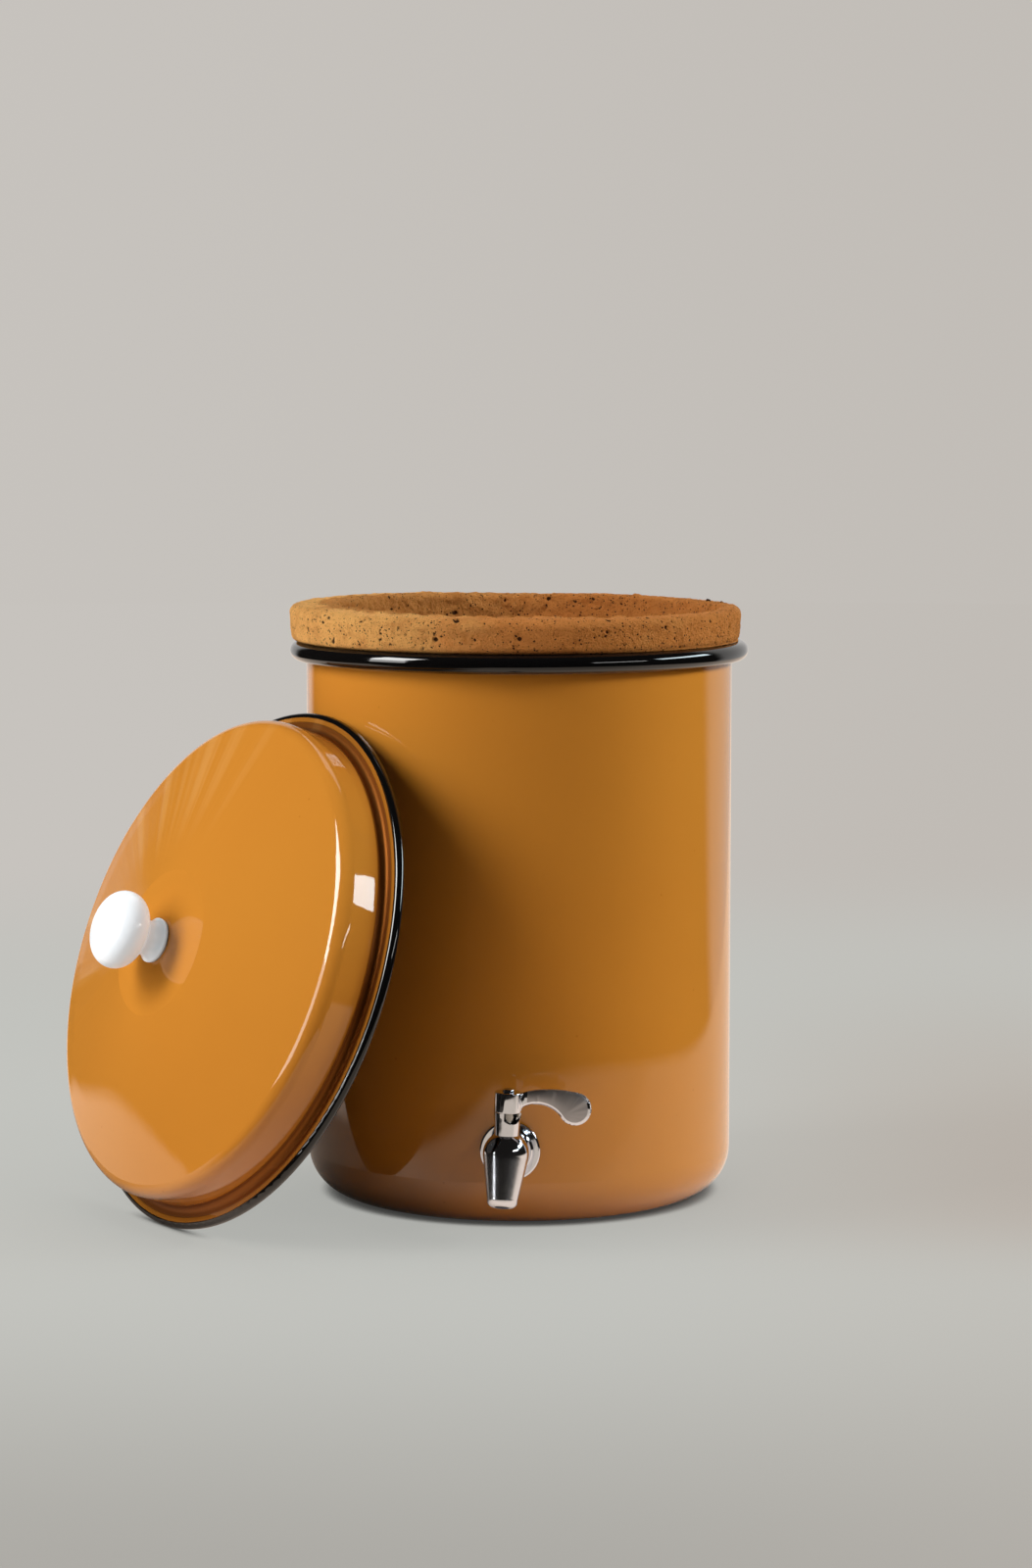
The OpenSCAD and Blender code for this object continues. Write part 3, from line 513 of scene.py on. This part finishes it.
def make_finishes():
    """The finish of each CAD node."""
    glaze, lines, grain = make_glaze(), make_polishing_lines(), make_grain()
    polished = metal("polished_tap", lines, STEEL, roughness=0.05, spread=0.06,
                     grain=(700.0, 700.0, 90.0), dull_spout=True)
    satin = metal("satin_lever", lines, SATIN_STEEL, roughness=0.52, spread=0.10,
                  grain=(300.0, 300.0, 2200.0), depth=0.00001, cast_depth=0.00004)
    turned = metal("turned_steel", lines, TURNED_STEEL, roughness=0.18, spread=0.15,
                   grain=(60.0, 60.0, 2400.0))
    zinc = metal("zinc_plate", lines, ZINC, roughness=0.28, spread=0.15, grain=(500.0, 500.0, 500.0))
    brass = metal("drawn_brass", lines, BRASS, roughness=0.25, spread=0.15, grain=(900.0, 900.0, 120.0))
    # the porcelain's glow is painted light on the knob's shaded side
    glazed = grained("white_porcelain", grain, rgb(246, 246, 248), rgb(242, 242, 245), roughness=0.05,
                     scale=30.0, depth=0.0003, Emission_Color=PORCELAIN_FILL_GLOW, Emission_Strength=0.24)
    rubber = grained("black_rubber", grain, rgb(24, 24, 25), rgb(34, 33, 33), roughness=0.62, scale=900.0)
    clear = grained("clear_silicone", grain, rgb(214, 216, 214), rgb(200, 203, 202), roughness=0.42,
                    scale=500.0)
    slick = grained("white_seat", grain, rgb(236, 235, 230), rgb(226, 224, 219), roughness=0.40,
                    scale=500.0)
    return {
        "receptacle": enamel("ochre_enamel_drum", glaze, rim_black, DRUM_HEART),
        "lid_shell": enamel("ochre_enamel_lid", glaze, edge_black, LID_HEART, on_lid=True),
        "knob": glazed, "knob_gasket": clear, "knob_insert": brass, "knob_screw": zinc, "knob_washer": zinc,
        "tap_body": polished, "tap_lever": satin, "lever_screw": polished, "stop_pin": turned,
        "tap_plug": turned, "retaining_ring": turned, "plug_seat": slick,
        "plug_ring_upper": rubber, "plug_ring_lower": rubber,
        "outer_gasket": rubber, "inner_gasket": rubber, "clamp_washer": turned, "tap_nut": polished,
    }


def dress(node, finish):
    """Gives a CAD node this finish in each of its slots, or in a new one."""
    slots = NODES[node].data.materials
    if not len(slots):
        slots.append(finish)
    for i in range(len(slots)):
        slots[i] = finish


# ---------------------------------------------------------------- studio

BACKDROP_LEFT, BACKDROP_RIGHT = rgb(199, 195, 190), rgb(192, 187, 181)
BACKDROP_TURN = (-0.25, 0.25)  # the backdrop's tone changes between these directions
ROOM_DARK, ROOM_PALE = rgb(28, 26, 24), rgb(212, 209, 206)
BACK_AIM, BACK_EDGE = (0.208, 0.978), (0.63, 0.77)  # where the pale backdrop stands, and its edge
AMBIENT_TONE, AMBIENT = rgb(200, 178, 162), 0.018

# the floor, whose tones change between places given as x or y
FLOOR_R, FLOOR_ENDS = 7.0, (0.75, 1.9)  # its size, and the distances where it turns to backdrop
FLOOR_TONE, FLOOR_NEAR, NEAR_Y = rgb(201, 202, 197), rgb(171, 168, 162), (-0.25, -1.0)
FLOOR_WARM, WARM_X, WARM_BACK_Y = rgb(190, 181, 172), (0.0, 0.40), (1.3, 0.0)
WARM_FRONT_Y, WARM_LEAST = (-0.30, -0.05), 0.35
FLOOR_GLOW, FLOOR_SHADED, FLOOR_PAPER = 0.82, 0.86, rgb(76, 75, 73)
CONTACT_REACH, SHADE_REACH, SHADE_SAMPLES = 0.009, 0.32, 6
CONTACT_SHADE = (0.10, 0.85, 0.10, 1.0)  # from and to this openness, and the strengths there
AROUND_SHADE = (0.30, 0.95, FLOOR_SHADED * FLOOR_GLOW, FLOOR_GLOW)
FLOOR_POINTS = 96

# the lit paper that polished faces mirror: an ellipse around the middle of the set
SET_X = 0.12
PAPER_MIRRORED, PAPER_FRONT, PAPER_Y = (1.02, 0.84, 0.70, 1.0), (0.70, 0.60, 0.50, 1.0), (-0.20, -0.30)
PAPER_LEFT_R, PAPER_RIGHT_R, PAPER_FRONT_R, PAPER_FADE = 1.05, 0.62, 0.68, (0.80, 1.12)
LID_SHADE_X, LID_SHADE_Y, LID_SHADE_SKEW = (-0.32, -0.40), (-0.20, -0.28), 0.35
SHADE_DEPTH = 0.93  # how much of the paper's light is gone where the lid hides it
PAPER_SHADE, PAPER_TURN_X = (0.16, 0.50, 0.08, 1.0), (-0.1, 0.3)
BEHIND_LEFT_X, BEHIND_RIGHT_X = (-0.46, -0.38), (0.10, 0.0)  # the floor behind the lid lies between
BEHIND_FRONT_Y, BEHIND_BACK_Y, BEHIND_SHARE = (-0.17, -0.08), (0.55, 0.35), 0.75

# the light that the floor throws on the object
BOUNCE_PLAIN, BOUNCE_LEFT, BOUNCE_LEFT_X = rgb(98, 76, 62), rgb(214, 213, 212), (-0.30, -0.42)
BOUNCE_FRONT, BOUNCE_FRONT_Y = rgb(212, 188, 168), -0.27
BOUNCE_RX, BOUNCE_RY, BOUNCE_FADE = 0.40, 0.30, (1.2, 0.5)
BOUNCE_HIDDEN, HIDDEN_GAIN = rgb(48, 46, 44), 1.3

SOFT_WHITE, KEY_WHITE, SKY_WHITE = (1.0, 0.99, 0.98), (1.0, 0.99, 0.975), (0.84, 1.0, 1.06)
LAMP_AIM = Vector((0.0, -0.05, 0.2))
LAMPS = (  # name, degrees round and up, distance, width, height, watts, tint, and if faces mirror it
    ("key_high", -69, 35, 2.3, 0.80, 1.00, 37.0, KEY_WHITE, True),
    ("key_low", -66, 13, 2.3, 0.85, 0.85, 12.0, KEY_WHITE, True),
    ("glint_right", 54, 18, 2.4, 1.20, 0.12, 4.5, SOFT_WHITE, True),
    ("side_right", 74, 31, 2.4, 1.10, 0.45, 25.0, SOFT_WHITE, False),
    ("behind", 172, 14, 2.4, 1.20, 1.00, 10.0, SOFT_WHITE, False),
    ("window_right", 98, 27, 2.4, 1.50, 0.40, 22.0, SKY_WHITE, True),
    ("top_back", 178, 62, 2.2, 1.20, 1.20, 6.0, SOFT_WHITE, True),
)


def lamp(name, azimuth, height_angle, distance, size, size_y, watts, tint, mirrored):
    """A rectangular soft light; azimuth 0 is in front of the drum (towards -y), 90 to its right."""
    data = bpy.data.lights.new(name, "AREA")
    data.shape, data.size, data.size_y = "RECTANGLE", size, size_y
    data.energy, data.color = watts, tint
    made = bpy.data.objects.new(name, data)
    a, e = math.radians(azimuth), math.radians(height_angle)
    back = Vector((math.sin(a) * math.cos(e), -math.cos(a) * math.cos(e), math.sin(e)))
    made.location = LAMP_AIM + back * distance
    made.rotation_euler = (-back).to_track_quat("-Z", "Y").to_euler()
    made.visible_glossy = mirrored
    bpy.context.scene.collection.objects.link(made)


def room_tone(w, parts):
    """What polished faces mirror: a dim room in front, the pale backdrop behind the object."""
    towards = w.total(w.product(parts[0], BACK_AIM[0]), w.product(parts[1], BACK_AIM[1]))
    return w.mix(w.ramp(towards, *BACK_EDGE), ROOM_DARK, ROOM_PALE)


def backdrop_tone(w, parts):
    return w.mix(w.ramp(parts[0], *BACKDROP_TURN), BACKDROP_LEFT, BACKDROP_RIGHT)


def build_world():
    """The backdrop for the camera, the room for polished faces and a faint light for the rest."""
    world = bpy.data.worlds.new("studio")
    bpy.context.scene.world = world
    w = blank(world)
    parts = w.parts(w.add("ShaderNodeTexCoord").outputs["Generated"])
    ray = w.add("ShaderNodeLightPath").outputs
    seen = w.shader("Background", Color=backdrop_tone(w, parts), Strength=1.0)
    mirrored = w.shader("Background", Color=room_tone(w, parts), Strength=1.0)
    ambient = w.shader("Background", Color=AMBIENT_TONE, Strength=AMBIENT)
    direct = w.largest(ray["Is Camera Ray"], ray["Is Transmission Ray"])
    output = w.add("ShaderNodeOutputWorld")
    w.feed(output.inputs["Surface"], w.blend(direct, w.blend(ray["Is Glossy Ray"], ambient, mirrored), seen))


def open_share(w, reach):
    """How open a place on the floor is, from 0 to 1, within this reach."""
    return w.add("ShaderNodeAmbientOcclusion", {"Distance": reach}, samples=SHADE_SAMPLES).outputs["AO"]


def behind_lid(w, at):
    """The part of the floor behind the lid, which gets little light."""
    across = w.product(w.ramp(at[0], *BEHIND_LEFT_X), w.ramp(at[0], *BEHIND_RIGHT_X))
    back = w.product(w.ramp(at[1], *BEHIND_FRONT_Y), w.ramp(at[1], *BEHIND_BACK_Y, 0.0, BEHIND_SHARE))
    return w.product(across, back)


def pictured_floor(w, at, around):
    """The floor as the camera sees it, darker beside the object and darkest where it stands."""
    tone = w.mix(w.ramp(at[1], *NEAR_Y), FLOOR_TONE, FLOOR_NEAR)
    warm = w.product(
        w.ramp(at[0], *WARM_X), w.ramp(at[1], *WARM_BACK_Y), w.ramp(at[1], *WARM_FRONT_Y, WARM_LEAST, 1.0)
    )
    contact = w.ramp(open_share(w, CONTACT_REACH), *CONTACT_SHADE)
    strength = w.product(contact, w.ramp(around, *AROUND_SHADE))
    glow = w.shader("Emission", Color=w.mix(warm, tone, FLOOR_WARM), Strength=strength)
    lit = w.shader("BsdfDiffuse", Color=FLOOR_PAPER)
    return w.add("ShaderNodeAddShader", {0: lit, 1: glow}).outputs[0]


def mirrored_floor(w, at, around, hidden, beyond):
    """The floor as polished faces mirror it: lit paper that ends in the dim room."""
    tone = w.mix(w.ramp(at[1], *PAPER_Y), PAPER_MIRRORED, PAPER_FRONT)
    beside_lid = w.ramp(w.total(at[0], w.product(at[1], LID_SHADE_SKEW)), *LID_SHADE_X)
    hidden = w.largest(w.product(beside_lid, w.ramp(at[1], *LID_SHADE_Y)), hidden)
    lit = w.product(w.ramp(around, *PAPER_SHADE), w.math("SUBTRACT", 1.0, w.product(hidden, SHADE_DEPTH)))
    paper = w.shader("Emission", Color=tone, Strength=lit)
    reach = w.ramp(at[0], *PAPER_TURN_X, PAPER_LEFT_R, PAPER_RIGHT_R)
    out_x = w.squared(w.math("DIVIDE", w.math("SUBTRACT", at[0], SET_X), reach))
    out_y = w.squared(w.product(w.math("MINIMUM", at[1], 0.0), 1 / PAPER_FRONT_R))
    return w.blend(w.ramp(w.total(out_x, out_y), *PAPER_FADE), paper, beyond)


def bouncing_floor(w, at, hidden):
    """The floor for the light that it throws on the object: palest in front and at the left."""
    out_x = w.squared(w.product(w.math("SUBTRACT", at[0], SET_X), 1 / BOUNCE_RX))
    out_y = w.squared(w.product(w.math("SUBTRACT", at[1], BOUNCE_FRONT_Y), 1 / BOUNCE_RY))
    thrown = w.mix(w.ramp(at[0], *BOUNCE_LEFT_X), BOUNCE_PLAIN, BOUNCE_LEFT)
    thrown = w.mix(w.ramp(w.total(out_x, out_y), *BOUNCE_FADE), thrown, BOUNCE_FRONT)
    thrown = w.mix(w.math("MULTIPLY", hidden, HIDDEN_GAIN, clamp=True), thrown, BOUNCE_HIDDEN)
    return w.shader("BsdfDiffuse", Color=thrown)


def build_floor():
    """A round floor that turns into the backdrop, and lets a camera under it look through."""
    bpy.ops.object.select_all(action="DESELECT")
    bpy.ops.mesh.primitive_circle_add(
        vertices=FLOOR_POINTS, radius=FLOOR_R, fill_type="NGON", location=(0, 0, 0)
    )
    floor = bpy.context.object
    floor.name = "studio_floor"
    made = bpy.data.materials.new("studio_floor")
    w = blank(made)
    here = w.add("ShaderNodeTexCoord").outputs["Object"]
    at, towards = w.parts(here), w.parts(w.vector("NORMALIZE", here))
    ray = w.add("ShaderNodeLightPath").outputs
    around, hidden = open_share(w, SHADE_REACH), behind_lid(w, at)
    edge = w.mix(ray["Is Glossy Ray"], backdrop_tone(w, towards), room_tone(w, towards))
    beyond = w.shader("Emission", Color=edge, Strength=1.0)
    far = w.ramp(w.vector("LENGTH", here), *FLOOR_ENDS)
    pictured = w.blend(far, pictured_floor(w, at, around), beyond)
    shown = w.blend(ray["Is Glossy Ray"], pictured, mirrored_floor(w, at, around, hidden, beyond))
    seen = w.largest(ray["Is Camera Ray"], ray["Is Glossy Ray"], ray["Is Transmission Ray"])
    face = w.blend(seen, bouncing_floor(w, at, hidden), shown)
    under = w.add("ShaderNodeNewGeometry").outputs["Backfacing"]
    output = w.add("ShaderNodeOutputMaterial")
    w.feed(output.inputs["Surface"], w.blend(under, face, w.shader("BsdfTransparent")))
    floor.data.materials.append(made)


# ---------------------------------------------------------------- clay pot

MOUTH_ASIDE = 0.0068  # the mouth stands a little to the right of the drum's axis
RIM_ASIDE = -0.0024  # the rim's outer face sits a little to the left of it
RING_POINTS = 760
CORE_R, CORE_RINGS = 0.030, (0.018, 0.006)  # the plain middle of the floor, and its inner rings

# radii, with heights above the pot's underside or above its seat
FLOOR_OUT_R, FLOOR_IN_R, FLOOR_T = 0.1090, 0.0990, 0.0148
CORNER_OUT, CORNER_IN, CORNER_IN_Z = 0.024, 0.018, 0.034
NECK_R, SEAT_R = 0.1346, 0.1350
RIM_FOOT_R, RIM_FOOT_ROUND = RIM_R - 0.0012, 0.004
RIM_LIP_R, RIM_LIP_ROUND = RIM_R - 0.0002, 0.0062
CREST_Z = POT_TOP - 0.0006
MOUTH_R, MOUTH_ROUND = 0.1290, 0.0035
THROAT_R, THROAT_Z, WALL_TOP_R, WALL_TOP_Z = 0.1248, 0.004, 0.1236, -0.012
WALL_LOW_R, WALL_LOW_Z, NECK_DROP = FLOOR_IN_R + 0.001, 0.040, 0.001
NEARLY = 0.00001  # what lies within this of a height is level with it

# where the hand shows: between these radii, or between these heights above the seat
INNER_SIDE_R, NECK_OUT_R = (0.1425, 0.1305), 0.137
MOUTH_SHIFT_Z, RIM_SHIFT_Z, CREST_SHIFT_Z = (-0.004, 0.026), (0.0, 0.001), (0.006, 0.022)
CREST_SINKS, FRONT_SINKS, LEFT_RISES, CREST_WAVE = 0.0009, 0.0014, 0.0010, 0.0003
ROUGH_Z, ROUGH_INSIDE_Z, ROUGH_INSIDE_R = (0.0015, 0.0055), (-0.020, 0.0), 0.131
TORN_Z, TORN_R = (0.004, 0.012), 0.1335

PIT_COUNT, PIT_SEED = 320, 41
PIT_SMALLEST, PIT_SPREAD, PIT_DEPTH = 0.0007, 0.0020, 0.75
PITTED_R, PITTED_Z = 0.118, 0.0012  # the pits lie farther out and higher above the seat than this


def select_where(mesh_object, test):
    """In edit mode, selects the vertices for which test is true."""
    mesh = bmesh.from_edit_mesh(mesh_object.data)
    for v in mesh.verts:
        v.select_set(test(v.co))
    mesh.select_flush_mode()
    bmesh.update_edit_mesh(mesh_object.data)


def ring_up(reach_from, reach_to, rise=0.0):
    """Extrudes the selected ring, resizes it about the axis and lifts it."""
    bpy.ops.mesh.extrude_region_move()
    share = reach_to / reach_from
    bpy.ops.transform.resize(value=(share, share, 1.0), center_override=(0, 0, 0))
    if rise:
        bpy.ops.transform.translate(value=(0.0, 0.0, rise))


def arc(centre, radius, start, stop, steps):
    """Points of a section's arc, from angle start to stop in degrees, without the first."""
    out = []
    for i in range(1, steps + 1):
        a = math.radians(start + (stop - start) * i / steps)
        out.append((centre[0] + radius * math.cos(a), centre[1] + radius * math.sin(a)))
    return out


def line(start, stop, steps):
    """Points of a section's straight side, without the first."""
    return [
        (start[0] + (stop[0] - start[0]) * i / steps, start[1] + (stop[1] - start[1]) * i / steps)
        for i in range(1, steps + 1)
    ]


def share_along(value, start, stop):
    """How far value is on the way from start to stop, from 0 to 1."""
    return min(1.0, max(0.0, (value - start) / (stop - start)))


def smooth_along(value, start, stop):
    t = share_along(value, start, stop)
    return t * t * (3.0 - 2.0 * t)


def pot_section():
    """The pot's outline, from the underside outwards, over the rim and down to the inner floor."""
    section = [(CORE_R, POT_LOW)]

    def side(radius, height, steps):
        section.extend(line(section[-1], (radius, height), steps))

    corner_r = FLOOR_OUT_R - CORNER_OUT
    side(corner_r, POT_LOW, 3)
    section.extend(arc((corner_r, POT_LOW + CORNER_OUT), CORNER_OUT, -90, -6, 8))
    side(NECK_R, SEAT_Z - NECK_DROP, 14)
    side(SEAT_R, SEAT_Z, 1)
    foot_r = RIM_FOOT_R - RIM_FOOT_ROUND
    side(foot_r, SEAT_Z, 5)
    section.extend(arc((foot_r, SEAT_Z + RIM_FOOT_ROUND), RIM_FOOT_ROUND, -90, 0, 5))
    side(RIM_LIP_R, CREST_Z - RIM_LIP_ROUND, 13)
    section.extend(arc((RIM_LIP_R - RIM_LIP_ROUND, CREST_Z - RIM_LIP_ROUND), RIM_LIP_ROUND, 0, 90, 8))
    side(MOUTH_R, CREST_Z, 9)
    section.extend(arc((MOUTH_R, CREST_Z - MOUTH_ROUND), MOUTH_ROUND, 90, 172, 5))
    side(THROAT_R, SEAT_Z + THROAT_Z, 15)
    side(WALL_TOP_R, SEAT_Z + WALL_TOP_Z, 5)
    side(WALL_LOW_R, POT_LOW + WALL_LOW_Z, 14)
    section.extend(arc((FLOOR_IN_R - CORNER_IN, POT_LOW + CORNER_IN_Z), CORNER_IN, 0, -90, 6))
    side(CORE_R, POT_LOW + FLOOR_T, 3)
    return section


def turn_pot(section):
    """Raises the section's rings from a circle and closes the floor on both sides."""
    bpy.ops.object.select_all(action="DESELECT")
    bpy.ops.mesh.primitive_circle_add(vertices=RING_POINTS, radius=CORE_R, location=(0, 0, POT_LOW))
    pot = bpy.context.object
    pot.name = "clay_pot"
    bpy.ops.object.transform_apply(location=True, rotation=False, scale=False)
    bpy.ops.object.mode_set(mode="EDIT")
    bpy.ops.mesh.select_all(action="SELECT")
    for here, there in zip(section, section[1:]):
        ring_up(here[0], there[0], there[1] - here[1])
    for height in (POT_LOW, POT_LOW + FLOOR_T):
        bpy.ops.mesh.select_all(action="DESELECT")
        select_where(pot, lambda co: abs(co.z - height) < NEARLY and math.hypot(co.x, co.y) < CORE_R + NEARLY)
        for before, reach in zip((CORE_R, *CORE_RINGS), CORE_RINGS):
            ring_up(before, reach)
        bpy.ops.mesh.merge(type="CENTER")
    bpy.ops.mesh.select_all(action="SELECT")
    bpy.ops.mesh.normals_make_consistent(inside=False)
    bpy.ops.object.mode_set(mode="OBJECT")
    return pot


def shape_by_hand(mesh):
    """Shifts the rim and the mouth aside and lets the rim's crest rise and fall."""
    for v in mesh.vertices:
        reach, angle, lift = math.hypot(v.co.x, v.co.y), math.atan2(v.co.y, v.co.x), v.co.z - SEAT_Z
        inner = smooth_along(reach, *INNER_SIDE_R)
        neck = 1.0 if reach < NECK_OUT_R and inner < 1.0 else 0.0
        v.co.x += RIM_ASIDE * max(smooth_along(lift, *RIM_SHIFT_Z), neck) * (1.0 - inner)
        v.co.x += MOUTH_ASIDE * inner * smooth_along(lift, *MOUTH_SHIFT_Z)
        front, left = max(0.0, -math.sin(angle)), -math.cos(angle)
        crest = LEFT_RISES * left + CREST_WAVE * math.cos(5 * angle + 1.0) - CREST_SINKS - FRONT_SINKS * front
        v.co.z += crest * smooth_along(lift, *CREST_SHIFT_Z)


def mark_rim(pot):
    """Weighs each point by how far it belongs to the rim, and to the torn inner face."""
    groups = [pot.vertex_groups.new(name=label) for label in ("all_rim", "inner_face")]
    for v in pot.data.vertices:
        reach, lift = math.hypot(v.co.x, v.co.y), v.co.z - SEAT_Z
        rim = share_along(lift, *ROUGH_Z)
        if reach < ROUGH_INSIDE_R:
            rim = max(rim, share_along(lift, *ROUGH_INSIDE_Z))
        torn = share_along(lift, *TORN_Z) if reach < TORN_R else 0.0
        for group, weight in zip(groups, (rim, torn)):
            group.add([v.index], weight, "REPLACE")


def roughen(pot, label, scale, strength, group, depth=2, axis="NORMAL"):
    """Displaces the points of a group by a cloud texture of this scale."""
    texture = bpy.data.textures.new(label, "CLOUDS")
    texture.noise_scale, texture.noise_depth = scale, depth
    change = pot.modifiers.new(label, "DISPLACE")
    change.texture, change.strength, change.mid_level = texture, strength, 0.5
    change.vertex_group, change.direction, change.texture_coords = group, axis, "LOCAL"
    bpy.context.view_layer.objects.active = pot
    bpy.ops.object.modifier_apply(modifier=label)


def press_pits(pot):
    """Sinks irregular pits into the clay rim and marks how deep each point lies in one."""
    lot = random.Random(PIT_SEED)
    mesh = pot.data
    total = len(mesh.vertices)
    place, out = np.zeros(total * 3), np.zeros(total * 3)
    mesh.vertices.foreach_get("co", place)
    mesh.vertices.foreach_get("normal", out)
    place, out = place.reshape(-1, 3), out.reshape(-1, 3)
    before = place.copy()
    reach = np.hypot(place[:, 0], place[:, 1])
    rim = np.flatnonzero((place[:, 2] > SEAT_Z + PITTED_Z) & (reach > PITTED_R))
    depth = np.zeros(total)
    for _ in range(PIT_COUNT):
        middle = rim[lot.randrange(len(rim))]
        size = PIT_SMALLEST + PIT_SPREAD * lot.random() ** 5
        along = np.array([lot.uniform(-1, 1) for _ in range(3)])
        along /= np.linalg.norm(along)
        off = before - before[middle]
        off += np.outer(off @ along, along) * lot.uniform(-0.45, 0.5)
        share = np.clip(1.0 - (np.linalg.norm(off, axis=1) / size) ** 2, 0.0, 1.0)
        place -= out * (share * size * PIT_DEPTH)[:, None]
        depth = np.maximum(depth, share)
    mesh.vertices.foreach_set("co", place.ravel())
    mesh.attributes.new("pit", "FLOAT", "POINT").data.foreach_set("value", depth.astype(np.float32))
    mesh.update()


def build_pot(clay):
    """The clay pot: its walls and floor are plain rings, its rim is finely divided and rough."""
    pot = turn_pot(pot_section())
    shape_by_hand(pot.data)
    mark_rim(pot)
    roughen(pot, "slow_swell", scale=0.085, strength=0.0016, group="all_rim", axis="Z")
    roughen(pot, "hand_shaping", scale=0.022, strength=0.0014, group="all_rim")
    roughen(pot, "torn_face", scale=0.009, strength=0.0052, group="inner_face", depth=4)
    roughen(pot, "coarse_sand", scale=0.0040, strength=0.0013, group="all_rim", depth=4)
    pot.vertex_groups.clear()
    press_pits(pot)
    bpy.ops.object.shade_smooth()
    pot.data.materials.clear()
    pot.data.materials.append(clay)
    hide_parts("filter_pot")
    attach(pot, "filter")


# ---------------------------------------------------------------- lever

FLAT_FACE, UPPER_BEVEL = math.cos(math.radians(8)), 0.25  # least share of the normal in that direction
SHARP_EDGE, SAME_POINT = math.radians(24), 0.000002


def build_lever(polished, satin):
    """The cast lever: satin on its flat faces and upper bevel, polished on the rest and the hub."""
    lever = NODES["tap_lever"].copy()
    lever.data = NODES["tap_lever"].data.copy()
    lever.name = "lever_arm"
    lever.parent = None
    bpy.context.scene.collection.objects.link(lever)
    bpy.ops.object.select_all(action="DESELECT")
    lever.select_set(True)
    bpy.context.view_layer.objects.active = lever
    bpy.ops.object.mode_set(mode="EDIT")
    bpy.ops.mesh.select_all(action="SELECT")
    bpy.ops.mesh.remove_doubles(threshold=SAME_POINT)
    bpy.ops.object.mode_set(mode="OBJECT")
    mesh = lever.data
    mesh.materials.clear()
    mesh.materials.append(polished)
    mesh.materials.append(satin)
    for face in mesh.polygons:
        brushed = abs(face.normal.dot(LEVER_FACING)) > FLAT_FACE or face.normal.z > UPPER_BEVEL
        face.material_index = 1 if brushed and face.center.x > LEVER_HUB_X else 0
    bpy.ops.object.shade_smooth_by_angle(angle=SHARP_EDGE)
    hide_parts("tap_lever")
    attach(lever, "lever")


# ---------------------------------------------------------------- putting it together


def build():
    set_camera()
    build_world()
    build_floor()
    for values in LAMPS:
        lamp(*values)
    finishes = make_finishes()
    for node, finish in finishes.items():
        dress(node, finish)
    build_lever(finishes["tap_body"], finishes["tap_lever"])
    build_pot(fired_clay())


build()
scene = bpy.context.scene
scene.view_settings.view_transform = "Standard"
